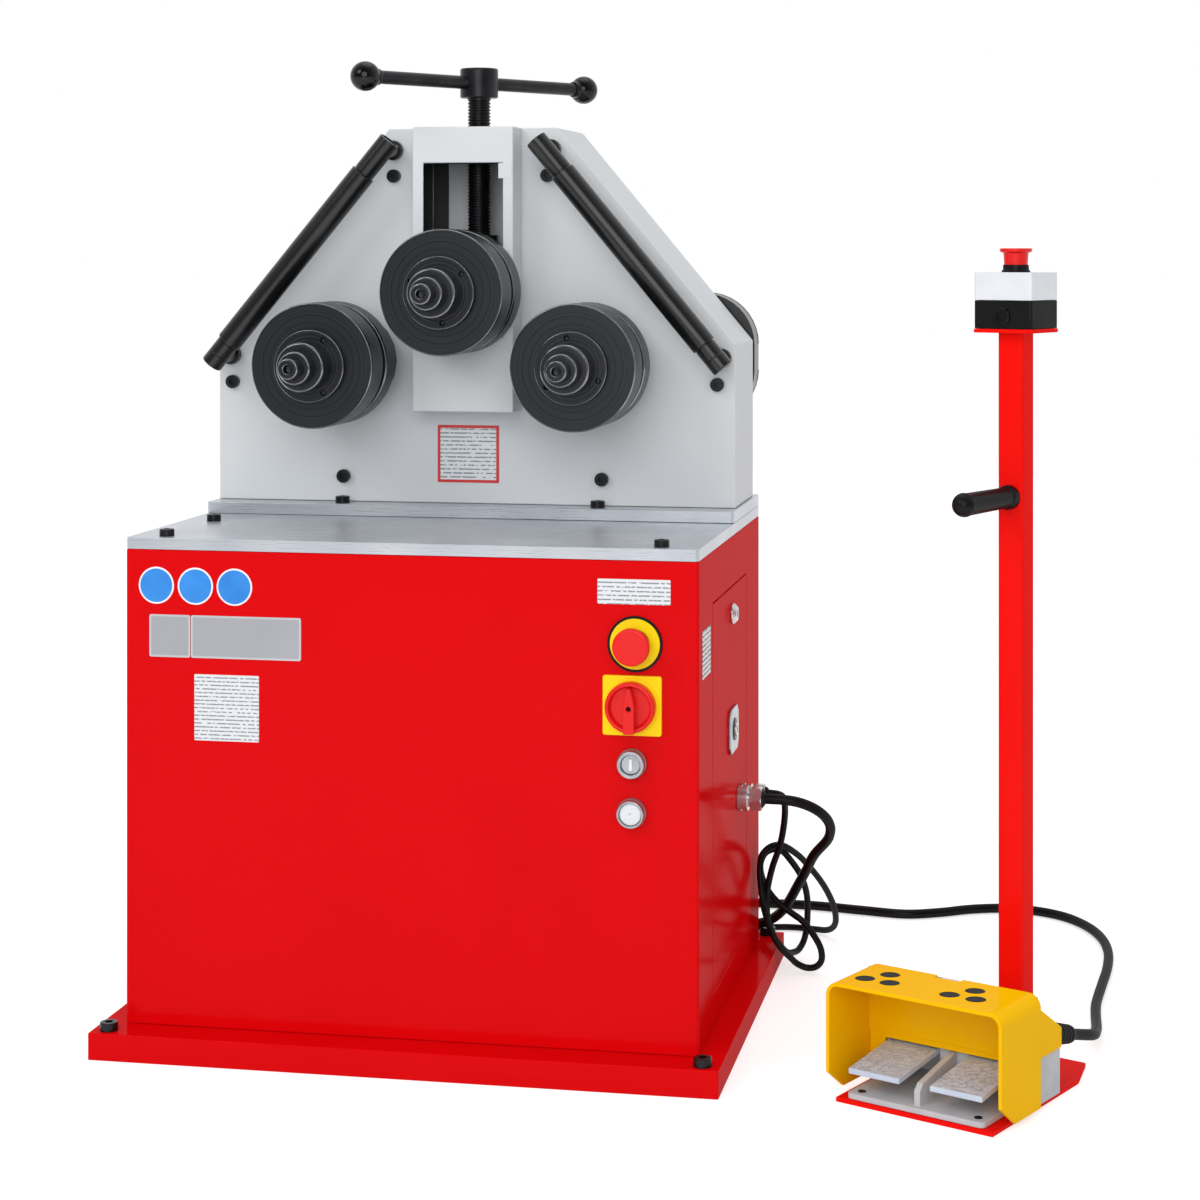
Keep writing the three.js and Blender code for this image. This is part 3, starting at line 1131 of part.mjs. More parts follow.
buttons(machine);

const stand = new THREE.Group();
stand.position.set(cabinetSide + STAND.besides, cabinetRear - STAND.fromRear, 0);
stand.rotation.z = STAND.turn * degrees;
floorPlate(stand);
post(stand);
pedalBase(stand);
pedal(stand, "pedal_left", -1);
pedal(stand, "pedal_right", 1);
guard(stand);
grip(stand);
postEmergencyStop(stand);
cableBoot(stand);

const ringRoller = new THREE.Group();
ringRoller.add(machine, stand);
const cabinetCorner = new THREE.Vector3(cabinetSide, cabinetRear, 0);
const motorEntry = new THREE.Vector3(terminalX, motorY, entryZ);
const pedalPoints = route(PEDAL_ROUTE, cabinetCorner);
const leadPoints = [...route(LEAD_LOOPS, cabinetCorner), ...route(LEAD_RISE, motorEntry)];
const cables = [["pedal_cable", pedalPoints, PEDAL_CABLE], ["motor_lead", leadPoints, MOTOR_LEAD]];
for (const [name, points, size] of cables) {
  const curve = cable(ringRoller, name, points, size);
  console.log(name, "is", curve.getLength().toFixed(0), "mm long");
  console.log("least gap to itself:", leastGap(curve, size.radius).toFixed(1), "mm");
}

export default ringRoller;
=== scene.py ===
# %% [markdown]
# # A ring roller with its pedal stand
#
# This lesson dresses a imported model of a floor-standing ring roller: a machine that bends bar and tube
# between three grooved rollers. The model's solids are already in place, in metres, with the floor at
# zero height. Each cell adds one piece or one finish, and the pieces keep to the places of the solids.

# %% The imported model
import math

import bpy
from mathutils import Matrix, Vector


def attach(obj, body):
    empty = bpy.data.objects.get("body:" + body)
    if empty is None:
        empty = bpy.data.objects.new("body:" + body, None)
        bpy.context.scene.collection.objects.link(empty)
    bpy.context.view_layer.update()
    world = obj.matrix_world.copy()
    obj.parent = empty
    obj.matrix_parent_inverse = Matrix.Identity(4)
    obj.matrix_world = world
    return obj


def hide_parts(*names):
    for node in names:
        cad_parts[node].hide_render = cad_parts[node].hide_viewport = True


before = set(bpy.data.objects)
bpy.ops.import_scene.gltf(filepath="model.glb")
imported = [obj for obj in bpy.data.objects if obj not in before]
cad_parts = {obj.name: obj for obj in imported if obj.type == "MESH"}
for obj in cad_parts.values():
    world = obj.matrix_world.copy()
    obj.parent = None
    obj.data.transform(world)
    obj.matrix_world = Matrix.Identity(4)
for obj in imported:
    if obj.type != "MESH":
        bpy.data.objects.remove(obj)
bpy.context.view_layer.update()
scene = bpy.context.scene
scene.view_settings.view_transform = "Standard"
MM = 0.001

# %% [markdown]
# ## The camera
# The photograph was taken with a long lens, level and a little to the right of the machine, and then
# cropped. A camera that looks down would show the same floor, but the cabinet's edges would lean. A level
# camera keeps them upright, and the crop is the lens shift.

# %% Camera
CAMERA_AT = (0.7488, -2.858, 0.892)
LEVEL = math.radians(90)
bpy.ops.object.camera_add(location=CAMERA_AT, rotation=(LEVEL, 0, math.radians(10.58)))
camera = bpy.context.object
camera.data.sensor_width = 36
camera.data.lens = 75.04
camera.data.shift_x = -0.0326
camera.data.shift_y = -0.2939
camera.data.clip_end = 60
scene.camera = camera
ahead = camera.matrix_world.to_quaternion() @ Vector((0, 0, -1))
print("camera looks along", [round(c, 3) for c in ahead])

# %% [markdown]
# ## Two cables
# The thick rubber cable joins the cabinet to the pedal switch. It leaves a gland, drops to the plinth,
# passes behind the machine and crosses the floor to the boot on the pedals. The thin lead feeds the
# motor: its slack hangs in three loops beside the cabinet before it goes up the machine's back.
# Each route is a row of points in millimetres, chosen so that the cable leaves its gland
# straight, hangs down, lies on the floor and never turns more tightly than such a cable can.

# %% The cables' routes
PEDAL_ROUTE = [
    (354.3, 58, 244), (358.3, 58, 244), (374.3, 58.3, 243.7), (390, 60.3, 241.7), (404.3, 65.2, 236.6),
    (415.9, 72.8, 228.8), (423.9, 82.4, 218.9), (427.4, 93.2, 207.7), (426.3, 104.3, 196.3),
    (421.8, 115, 185.3), (403.5, 137, 161.5), (390.5, 162, 135.5), (377, 187, 110), (364, 211, 85.5),
    (349.5, 233.5, 63.5), (329, 249.5, 47.5), (302, 257.6, 40.2), (280, 257.7, 36.9), (220, 256.7, 36.9),
    (160, 256.7, 36.9), (116, 256.8, 37.1), (83.5, 264, 38.8), (58, 281, 38.5), (40.5, 305, 33),
    (32.5, 334, 21.5), (34, 366, 11), (46, 398, 6.5), (76, 431, 6.4), (116, 458, 6.4), (172, 478, 6.4),
    (240, 490, 6.4), (310, 494, 6.4), (365, 493, 6.4), (430, 481, 6.4), (488, 473, 6.4), (532, 490, 6.4),
    (570, 513, 6.4), (612, 526, 6.4), (655, 521, 6.4), (694, 498, 6.4), (724, 456, 6.4), (743, 402, 6.4),
    (751, 340, 6.4), (750, 270, 6.4), (743, 190, 6.4), (737, 115, 7), (737, 55, 10), (738, 0, 16),
    (737, -50, 25), (733.5, -94.4, 36), (714.8, -134.7, 47.9), (708.1, -149.2, 52.2),
]
LEAD_ROUTE = [
    (348.3, 87, 245), (354.2, 87.1, 244.9), (361.2, 89.1, 244.1), (367, 94.6, 241.8), (370, 103, 237.3),
    (369, 130.4, 218.7), (365, 153.1, 193.9), (358.2, 167.8, 164.1), (347.3, 177.1, 133.3),
    (340.2, 183.6, 100.8), (339.9, 189.9, 67.5), (342.7, 194.3, 54.5), (347.7, 198.1, 42.2),
    (355.8, 199.6, 31.2), (360, 209.8, 23.1), (362.2, 228.5, 16.3), (365.2, 241.8, 13.4),
    (370, 254.9, 13.1), (375.1, 264.9, 20.8), (378.4, 268.1, 33.9), (380.3, 264.8, 53.4),
    (381, 250.9, 84.3), (375.3, 233, 112.6), (363, 218.7, 135.9), (355.6, 212.2, 145.8),
    (346, 204.1, 150.1), (336.1, 198.2, 146), (330.8, 194.3, 134.7), (331.5, 194.8, 120.8),
    (338.6, 196.6, 102.4), (350.4, 199.8, 86.7), (366.4, 199.9, 74.8), (383.1, 196.8, 64.2),
    (399.3, 194.8, 44.3), (405.2, 195, 31.6), (405.6, 196.6, 18.1), (398.4, 200.5, 8.9),
    (387.1, 201.8, 6.6), (375.5, 200, 11.4), (368.2, 192.7, 20.4), (359.4, 180.4, 33.6),
    (350.4, 173.5, 49.9), (339.1, 171.4, 81.6), (333, 178.3, 114.3), (331.7, 182.9, 133.7),
    (334.3, 184.6, 147.3), (343.8, 188.1, 156.5), (354.9, 196, 157.3), (372.1, 220.4, 141.4),
    (384.6, 244.4, 120.8), (396.4, 266.8, 98.1), (404.5, 290.1, 74.8), (409, 313.9, 51),
    (407.8, 338.3, 27.4), (401.8, 353.3, 15.7), (391.6, 368.7, 8.3), (376.6, 381.2, 5.4),
    (343.7, 388.3, 4.6), (310.7, 380.4, 4.6), (280.1, 365.9, 4.6), (251.7, 347.1, 4.6),
    (223.9, 327.7, 5.4), (207.4, 316.9, 8.7), (191.1, 307.7, 15.6), (179, 301.9, 30.1),
    (172.3, 299.5, 48.7), (169.9, 300, 82.6), (169.7, 300, 116.6), (170, 300, 219), (170, 300, 355),
    (170, 300, 455), (170, 300, 555), (170, 300, 654.7),
]
print("points chosen:", len(PEDAL_ROUTE), "for the pedal cable,", len(LEAD_ROUTE), "for the lead")

# %% [markdown]
# ## From points to a line
# Blender's own curves either pass beside their points or need a handle at each one. A Catmull-Rom curve
# passes through every point, and its centripetal form makes no kink where points lie close together, so
# the line is worked out here from each four neighbouring points.

# %% A smooth line through points


def smooth_line(points, per_span=6):
    """Points on a centripetal Catmull-Rom curve through the given ones."""
    points = [Vector(p) * MM for p in points]
    points = [2 * points[0] - points[1], *points, 2 * points[-1] - points[-2]]
    line = []
    for a, b, c, d in zip(points, points[1:], points[2:], points[3:]):
        t1 = (b - a).length ** 0.5
        t2 = t1 + (c - b).length ** 0.5
        t3 = t2 + (d - c).length ** 0.5
        for i in range(per_span):
            t = t1 + (t2 - t1) * i / per_span
            ab = a.lerp(b, t / t1)
            bc = b.lerp(c, (t - t1) / (t2 - t1))
            cd = c.lerp(d, (t - t2) / (t3 - t2))
            abc, bcd = ab.lerp(bc, t / t2), bc.lerp(cd, (t - t1) / (t3 - t1))
            line.append(abc.lerp(bcd, (t - t1) / (t2 - t1)))
    return [*line, points[-2]]


print("points on the pedal cable:", len(smooth_line(PEDAL_ROUTE)))

# %% [markdown]
# ## The cables' sheaths
# The pedal cable is 12 mm thick and fairly stiff, and the motor's lead is 8 mm thick and limp. The line
# becomes a curve object with a round bevel, which stays even in a tight bend, where a circle pushed along
# by hand would pinch. Its ends are closed.

# %% The cables


def cable(name, route, radius, stiffness):
    """A round tube of that radius along a route."""
    line = smooth_line(route)
    curve = bpy.data.curves.new(name, "CURVE")
    curve.dimensions = "3D"
    spline = curve.splines.new("POLY")
    spline.points.add(len(line) - 1)
    for point, place in zip(spline.points, line):
        point.co = (*place, 1)
    spline.use_smooth = True
    curve.bevel_depth = radius * MM
    curve.bevel_resolution = 5
    curve.use_fill_caps = True
    obj = bpy.data.objects.new(name, curve)
    scene.collection.objects.link(obj)
    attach(obj, "base")
    return obj


pedal_cable = cable("pedal_cable_sheath", PEDAL_ROUTE, 6, "medium")
motor_lead = cable("motor_lead_sheath", LEAD_ROUTE, 4, "limp")
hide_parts("pedal_cable")
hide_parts("motor_lead")

# %% [markdown]
# ## How a finish is made
# Every finish is a small net of nodes on one shader. Colours are written as on a paint chart, in sRGB,
# and turned to linear light by one function. One small function adds any kind of node, with its settings
# and links, so that a finish reads as a short list.

# %% Colours and nodes


def colour(chart):
    """A linear colour from an sRGB hex value."""
    parts = [int(chart[i:i + 2], 16) / 255 for i in (1, 3, 5)]
    return (*(c / 12.92 if c <= 0.04045 else ((c + 0.055) / 1.055) ** 2.4 for c in parts), 1)


def add_node(tree, kind, inputs=None, **settings):
    """Adds a node. An input is given a value, or the socket that it is linked to."""
    node = tree.nodes.new("ShaderNode" + kind)
    for key, value in settings.items():
        setattr(node, key, value)
    for key, value in (inputs or {}).items():
        if isinstance(value, bpy.types.NodeSocket):
            tree.links.new(value, node.inputs[key])
        else:
            node.inputs[key].default_value = value
    return node


def finish(name, **shader):
    """A material with one shader. Returns it, its tree, the shader and the place on the object."""
    material = bpy.data.materials.new(name)
    material.use_nodes = True
    tree = material.node_tree
    tree.nodes.clear()
    surface = add_node(tree, "BsdfPrincipled", shader)
    add_node(tree, "OutputMaterial", {"Surface": surface.outputs["BSDF"]})
    place = add_node(tree, "TexCoord").outputs["Object"]
    return material, tree, surface, place


print("mid grey of the chart in linear light:", round(colour("#808080")[0], 3))

# %% [markdown]
# ## Patterns in real sizes
# No real surface has one even tone. A noise gives it clouds and a fine unevenness, and its scale is
# worked out from the size of what it draws: the scene is in metres, so a scale of 1000 has features
# about a millimetre across. The noise is spread over a range of tones, of gloss, or of a bump's height.

# %% Patterns


def grain(tree, place, size, detail=4.0, roughness=0.5):
    """Noise whose features are about that many millimetres across."""
    noise = add_node(tree, "TexNoise", {"Vector": place, "Scale": 1 / (size * MM), "Detail": detail,
                                        "Roughness": roughness})
    return noise.outputs["Fac"]


def between(tree, factor, low, high, start=0.3, end=0.7):
    """Spreads a pattern over a range of values."""
    return add_node(tree, "MapRange", {"Value": factor, "From Min": start, "From Max": end, "To Min": low,
                                       "To Max": high}).outputs["Result"]


def shade_between(tree, factor, dark, light, start=0.3, end=0.7):
    """Spreads a pattern over the tones between two chart colours."""
    ramp = add_node(tree, "ValToRGB", {"Fac": factor})
    ramp.color_ramp.elements[0].position = start
    ramp.color_ramp.elements[0].color = colour(dark)
    ramp.color_ramp.elements[1].position = end
    ramp.color_ramp.elements[1].color = colour(light)
    return ramp.outputs["Color"]


def relief(tree, surface, height, depth, strength=1.0):
    """A bump that many millimetres deep."""
    bump = add_node(tree, "Bump", {"Height": height, "Distance": depth * MM, "Strength": strength})
    tree.links.new(bump.outputs["Normal"], surface.inputs["Normal"])


def painted(name, dark, light, size=40.0, gloss=0.35, peel=1.5, peel_depth=0.02, **shader):
    """A sprayed or moulded finish: a faint cloud of tone, and the unevenness of its surface."""
    material, tree, surface, place = finish(name, Roughness=gloss, **shader)
    tone = shade_between(tree, grain(tree, place, size, 2), dark, light)
    tree.links.new(tone, surface.inputs["Base Color"])
    relief(tree, surface, grain(tree, place, peel, 2), peel_depth)
    return material


def reflecting(level):
    """How strongly a paint or plastic mirrors: 0.5 is that of plain glass."""
    return {"Specular IOR Level": level}


print("a noise for features of 2 mm has the scale", round(1 / (2 * MM)))

# %% [markdown]
# ## Sprayed enamel
# The cabinet is sheet steel with a stoved gloss enamel, the head is cast iron under a light grey machine
# enamel, and the guard is enamelled yellow. Enamel is smooth at arm's length, with an orange-peel
# unevenness of about two millimetres. In white surroundings a plain reflection would wash its colour
# out, so the colour itself reflects nothing, and a thin clear skin gives the gloss.

# %% Enamels
SKIN = {**reflecting(0.0), "Coat Weight": 0.1, "Coat Roughness": 0.14}
# Stoved gloss enamel on sheet: a deep, even red under a thin shine, brighter on the pedal stand
stoved_red_enamel = painted("stoved_red_enamel", "#d5050a", "#d8060c", 140, 0.5, 2.2, 0.006, **SKIN)
stoved_bright_enamel = painted("stoved_bright_enamel", "#f0100b", "#f3140d", 140, 0.5, 2.2, 0.006, **SKIN)
# Machine enamel on cast iron: a cool light grey whose orange peel is coarser and deeper
sprayed_grey_enamel = painted("sprayed_grey_enamel", "#d2d6d9", "#d5d9dc", 140, 0.45, 2.5, 0.012,
                              **reflecting(0.25))
# Enamel on the guard's sheet: a warm yellow with small clouds of tone
stoved_yellow_enamel = painted("stoved_yellow_enamel", "#f8bd02", "#fcc204", 90, 0.5, 2.0, 0.006, **SKIN)
# Enamel on the tubes and the motor: black, with a long soft highlight
stoved_black_enamel = painted("stoved_black_enamel", "#0f0f0f", "#151516", 30, 0.27, 1.6, 0.008)
print("enamels:", 5)

# %% [markdown]
# ## Plastics and rubber
# The controls are moulded plastics, and the grip, the boot and the cables are rubber. Moulded surfaces
# are finely eroded, so their shine is broad and dull. As on the enamel, the colour reflects little, and
# a rougher skin gives the sheen.

# %% Plastics and rubbers
MATT_SKIN = {**reflecting(0.0), "Coat Weight": 0.25, "Coat Roughness": 0.3}
# Moulded polyamide and ABS: bright, even colours with a small clean highlight
moulded_yellow_abs = painted("moulded_yellow_abs", "#fcd506", "#ffdc08", 40, 0.4, 1.0, 0.004,
                             **reflecting(0.2))
moulded_red_polyamide = painted("moulded_red_polyamide", "#e01616", "#e61a16", 40, 0.32, 1.0, 0.004,
                                **reflecting(0.3))
moulded_white_abs = painted("moulded_white_abs", "#dde1e6", "#e4e8ec", 25, 0.35, 1.0, 0.006)
# The same with an eroded mould: a dull, grainy surface
eroded_grey_abs = painted("eroded_grey_abs", "#bbbdc2", "#c6c8cc", 30, 0.5, 0.9, 0.02, **MATT_SKIN)
eroded_black_polyamide = painted("eroded_black_polyamide", "#131314", "#19191a", 20, 0.4, 0.9, 0.015,
                                 **MATT_SKIN)
# Polished phenolic resin on the ball knobs: deep black with a sharp highlight
polished_black_resin = painted("polished_black_resin", "#060606", "#0b0b0b", 20, 0.12, 1.5, 0.004,
                               **reflecting(0.3))
# Rubber: matt black, smoother on the cables, whose sheath was drawn through a die
moulded_rubber = painted("moulded_rubber", "#121212", "#191919", 12, 0.55, 0.7, 0.02, **MATT_SKIN)
extruded_rubber = painted("extruded_rubber", "#0e0e0f", "#151516", 20, 0.4, 1.2, 0.01, **MATT_SKIN)
print("plastics and rubbers:", 8)

# %% [markdown]
# ## Ground and turned steel
# The table is ground steel: fine straight scratches across its width, a little oily, with faint clouds.
# The rollers are turned and blackened, so their marks are rings round each axis. Noise that is stretched
# along one axis gives the scratches, and noise of the distance from the axis alone gives the rings.

# %% Helpers for tool marks


def ground_steel(name, dark, light, along, gloss=0.3, metallic=1.0):
    """Scratches that run along one axis, drawn about a millimetre apart so that they show."""
    material, tree, surface, place = finish(name, Metallic=metallic)
    stretch = add_node(tree, "Mapping", {"Vector": place, "Scale": along}).outputs["Vector"]
    marks = add_node(tree, "TexNoise", {"Vector": stretch, "Scale": 900, "Detail": 3}).outputs["Fac"]
    tone = shade_between(tree, grain(tree, place, 120, 3), dark, light)
    tree.links.new(tone, surface.inputs["Base Color"])
    tree.links.new(between(tree, marks, gloss - 0.06, gloss + 0.1), surface.inputs["Roughness"])
    relief(tree, surface, marks, 0.02, 0.5)
    return material


def turned_steel(name, axis_at, dark="#1e2022", light="#2a2c30", gloss=0.32, metallic=0.5, depth=0.01):
    """Tool marks in uneven rings round an axis along Y, about 2 mm apart so that they show."""
    material, tree, surface, place = finish(name, Metallic=metallic)
    x, z = axis_at
    centred = add_node(tree, "Mapping", {"Vector": place, "Location": (-x * MM, 0, -z * MM),
                                         "Scale": (1, 0, 1)}).outputs["Vector"]
    radius = add_node(tree, "VectorMath", {0: centred}, operation="LENGTH").outputs["Value"]
    marks = add_node(tree, "TexNoise", {"W": radius, "Scale": 450, "Detail": 4},
                     noise_dimensions="1D").outputs["Fac"]
    tree.links.new(shade_between(tree, marks, dark, light), surface.inputs["Base Color"])
    tree.links.new(between(tree, marks, gloss - 0.06, gloss + 0.08), surface.inputs["Roughness"])
    relief(tree, surface, marks, depth, 0.6)
    return material


print("rings are about", round(1 / (450 * MM), 1), "mm apart")

# %% [markdown]
# ## The metals
# The table keeps a bright ground top, and the carriage runs on ground faces too. Rollers, screw and
# handle are blackened against rust, which leaves a dark metal with a soft shine. Lock, glands and bezels
# are plated. The rings need their roller's axis, so each stack has a finish of its own. An oil film and
# blackening hide part of the metal, which a lower metallic value gives.

# %% Metals
STACK_AT = {"upper": (0, 840), "left": (-154, 755), "right": (154, 755)}
# Ground tool steel: bright, with straight scratches that stretch each highlight
ground_table_steel = ground_steel("ground_table_steel", "#b9bec6", "#cfd3d9", (0.02, 1, 1), metallic=0.55)
ground_guide_steel = ground_steel("ground_guide_steel", "#8b8c8e", "#9c9da0", (1, 1, 0.02))
milled_gear_steel = ground_steel("milled_gear_steel", "#8d8f92", "#a5a7aa", (1, 0.02, 1))
# Turned and blackened steel: near black, with rings that break up the shine
blackened_stack_steel = {
    stack: turned_steel(f"blackened_{stack}_stack_steel", axis_at) for stack, axis_at in STACK_AT.items()
}
blackened_steel = painted("blackened_steel", "#17181a", "#26272a", 18, 0.33, 1.2, 0.01, Metallic=0.6)
# Nickel plate over brass: smooth and pale, with sharp reflections
nickel_plate = painted("nickel_plate", "#bcbfc4", "#d0d3d7", 20, 0.18, 1.0, 0.003, Metallic=0.8)
# Brushed and clear-coated steel: a softer, greyer shine
brushed_steel = painted("brushed_steel", "#9da1a6", "#b4b8bd", 9, 0.3, 0.8, 0.006, Metallic=0.85)
# Cast bronze of the screw's nut: warm, a little cloudy
cast_bronze = painted("cast_bronze", "#9a713a", "#b0854a", 15, 0.35, 1.0, 0.01, Metallic=1.0)
# Steel where the blackening has worn off an edge: thin bright lines
worn_bare_steel = painted("worn_bare_steel", "#7d7f82", "#939598", 12, 0.24, 0.8, 0.002, Metallic=1.0)
# Painted shade inside the slide's window: a near-black colour where the deep channel lies in shade
painted_channel_shade = painted("painted_channel_shade", "#070707", "#0b0b0b", 20, 0.5, 1.5, 0.01, **reflecting(0.2))
print("metals:", 8 + len(blackened_stack_steel))

# %% [markdown]
# ## Finishes for the solids
# A solid whose shape is right keeps it and only gets its finish. The others are replaced further down,
# and their finish is given all the same, so that none is ever bare.

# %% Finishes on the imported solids
finishes = {
    stoved_red_enamel: ["plinth", "cabinet_shell", "access_panel"],
    stoved_bright_enamel: ["floor_plate", "post"],
    sprayed_grey_enamel: ["head_casting", "rear_cover", "slide_guide"],
    ground_table_steel: ["table_plate", "sub_plate"],
    ground_guide_steel: ["carriage"],
    cast_bronze: ["screw_nut"],
    blackened_steel: ["lead_screw", "handle_hub", "handle_bar", "bearing_housing_left",
                  "bearing_housing_right"],
    polished_black_resin: ["knob_left", "knob_right"],
    milled_gear_steel: ["gear_left", "gear_right", "idler_gear", "drive_pinion"],
    stoved_black_enamel: ["gear_motor", "shoulder_bar_left", "shoulder_bar_right"],
    moulded_yellow_abs: ["estop_base", "switch_plate"],
    moulded_red_polyamide: ["estop_mushroom", "switch_knob", "post_mushroom"],
    nickel_plate: ["panel_lock", "cable_gland", "lead_gland", "start_bezel", "reset_bezel", "start_button"],
    moulded_white_abs: ["reset_button", "estop_box_cover"],
    eroded_grey_abs: ["pedal_base", "pedal_left", "pedal_right"],
    stoved_yellow_enamel: ["guard"],
    moulded_rubber: ["grip", "cable_boot"],
    eroded_black_polyamide: ["estop_box"],
    extruded_rubber: ["pedal_cable", "motor_lead"],
}
PARTS = ("shaft", "front_roller", "rear_roller", "clamp_nut")
for stack, material in blackened_stack_steel.items():
    finishes[material] = [f"{stack}_{part}" for part in PARTS]


def paint(obj, material):
    obj.data.materials.clear()
    obj.data.materials.append(material)


for material, names in finishes.items():
    for name in names:
        paint(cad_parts[name], material)
paint(pedal_cable, extruded_rubber)
paint(motor_lead, extruded_rubber)
print("finishes:", len(finishes), "for", sum(len(names) for names in finishes.values()), "solids")

# %% [markdown]
# ## The record's names for the materials
# The imported model's record lists its materials in a few slots, such as red paint or steel.

# %% [markdown]
# ## Tracing an outline
# Most pieces of this machine start as an outline: half a section for what is turned, and a whole one for
# what is cut from sheet. An outline starts as one vertex and grows by extrusion. A third number on a
# point rounds that corner, as the radius of a tool does, so no bevel is needed later. An operator acts on
# all that is selected, so everything is deselected first.

# %% Outline helpers
SAME_POINT = 0.005 * MM


def deselect_all():
    if bpy.context.object and bpy.context.object.mode != "OBJECT":
        bpy.ops.object.mode_set(mode="OBJECT")
    bpy.ops.object.select_all(action="DESELECT")


def eased(outline, steps=4):
    """The outline with its marked corners rounded."""
    line = []
    for i, point in enumerate(outline):
        here = Vector(point[:2])
        if len(point) == 2:
            line.append(here)
            continue
        before, after = Vector(outline[i - 1][:2]), Vector(outline[(i + 1) % len(outline)][:2])
        into = here + (before - here).normalized() * point[2]
        out = here + (after - here).normalized() * point[2]
        for share in (k / steps for k in range(steps + 1)):
            line.append(into.lerp(here, share).lerp(here.lerp(out, share), share))
    return line


def traced(name, line):
    """A chain of edges through the points, left in edit mode."""
    deselect_all()
    bpy.ops.mesh.primitive_plane_add(size=MM)
    piece = bpy.context.object
    piece.name = name
    bpy.ops.object.mode_set(mode="EDIT")
    bpy.ops.mesh.select_all(action="SELECT")
    bpy.ops.mesh.merge(type="CENTER")
    bpy.ops.transform.translate(value=line[0])
    for here, there in zip(line, line[1:]):
        bpy.ops.mesh.extrude_vertices_move(TRANSFORM_OT_translate={"value": there - here})
    bpy.ops.mesh.select_all(action="SELECT")
    return piece


print("points on a corner of 2 mm:", len(eased([(0, 0), (9, 0, 2), (9, 9)])) - 2)

# %% [markdown]
# ## Turning a piece
# Rollers, nuts, shafts, knobs and buttons came off a lathe. Cylinders could be stacked instead, but half
# an outline that is spun round its axis holds every step, groove and rounded edge at once, and leaves no
# seams between them. The points on the axis are spun as well, so doubles are merged afterwards.

# %% Lathe helpers


def tidied():
    """Merges doubles, turns the faces outwards and leaves edit mode."""
    bpy.ops.mesh.select_all(action="SELECT")
    bpy.ops.mesh.remove_doubles(threshold=SAME_POINT)
    bpy.ops.mesh.normals_make_consistent(inside=False)
    bpy.ops.object.mode_set(mode="OBJECT")


def turned(name, outline, centre, axis=(0, 1, 0), across=(1, 0, 0), sides=96):
    """A revolved piece: each point is (radius, distance along the axis), in millimetres."""
    centre, axis, across = Vector(centre) * MM, Vector(axis).normalized(), Vector(across).normalized()
    line = [centre + (across * r + axis * along) * MM for r, along in eased(outline)]
    piece = traced(name, line)
    bpy.ops.mesh.spin(steps=sides, angle=2 * math.pi, center=centre, axis=axis)
    tidied()
    return piece


print("a roller of 96 sides strays", round(73 * (1 - math.cos(math.pi / 96)), 3), "mm from a circle")

# %% [markdown]
# ## Finishing, copying and boring
# Every finished piece is shaded smooth except at its sharp edges, gets its finish, and is hung on the
# body that carries it, so that it moves with that body's joint. A repeated piece is modelled once and
# copied, each copy with a mesh of its own. Holes are cut by a boolean that is applied at once.

# %% Helpers for finished pieces


def activate(piece):
    """Makes a piece the only one that is selected."""
    deselect_all()
    piece.select_set(True)
    bpy.context.view_layer.objects.active = piece


def settle(piece, material, body, *nodes, smooth=40):
    """Shades a piece, gives it its finish, and hangs it on the body that carries it."""
    activate(piece)
    bpy.ops.object.shade_smooth_by_angle(angle=math.radians(smooth))
    weight = piece.modifiers.new("weight", "WEIGHTED_NORMAL")
    weight.keep_sharp = True
    bpy.ops.object.modifier_apply(modifier=weight.name)
    paint(piece, material)
    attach(piece, body)
    if nodes:
        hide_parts(*nodes)
    return piece


def copied(piece, name, matrix):
    """A copy with its own mesh, set in its place."""
    twin = piece.copy()
    twin.data = piece.data.copy()
    twin.name = name
    twin.data.transform(matrix)
    scene.collection.objects.link(twin)
    return twin


def shift(x, y, z):
    """A move by that many millimetres."""
    return Matrix.Translation((x * MM, y * MM, z * MM))


def bored(piece, *cutters):
    """Takes the cutters away from the piece."""
    for cutter in cutters:
        bore = piece.modifiers.new("bore", "BOOLEAN")
        bore.object = cutter
        activate(piece)
        bpy.ops.object.modifier_apply(modifier=bore.name)
        bpy.data.objects.remove(cutter)
    return piece


print("a shift of 1000 mm is", shift(1000, 0, 0).translation.x, "m")

# %% [markdown]
# ## Worn edges
# Blackening wears off first where hands and work touch: on the rounded edges. Those edges get a second
# finish of bare steel. A mask could be painted by hand, but each edge is a row of faces of its own here,
# so choosing faces is enough. A face is chosen by its place and by which way it looks: on a rounded edge
# it looks neither along the axis nor straight away from it.

# %% Helpers for a second finish


def accent(piece, material, chosen):
    """Gives a second finish to the faces that a test of their centre and normal picks."""
    piece.data.materials.append(material)
    for face in piece.data.polygons:
        if chosen(face.center / MM, face.normal):
            face.material_index = 1
    return piece


def worn_rims(piece, x, z, narrowest=0.15):
    """Bare metal on the rounded edges of a piece turned round an axis along Y."""
    def is_rim(centre, normal):
        in_spanner_holes = 30 < math.hypot(centre.x - x, centre.z - z) < 39.8
        return narrowest < abs(normal.y) < 0.9 and not in_spanner_holes
    return accent(piece, worn_bare_steel, is_rim)


print("a rim looks", round(math.degrees(math.asin(0.15))), "to", round(math.degrees(math.asin(0.9))),
      "degrees along the axis")

# %% [markdown]
# ## Rollers, clamp nuts and shafts
# Three equal stacks of grooved rollers bend the work. Each has a front disc with a core, a rear disc, a
# clamp nut with holes for a pin spanner, and a shaft whose stepped nose sticks out. They are blackened
# steel, and their turned edges catch the light as thin bright rings, so each edge is rounded by 1 to 3 mm.
# The three stacks are alike, so each piece is modelled once and copied to its place. Only the nuts are
# turned differently, as they happened to be tightened.

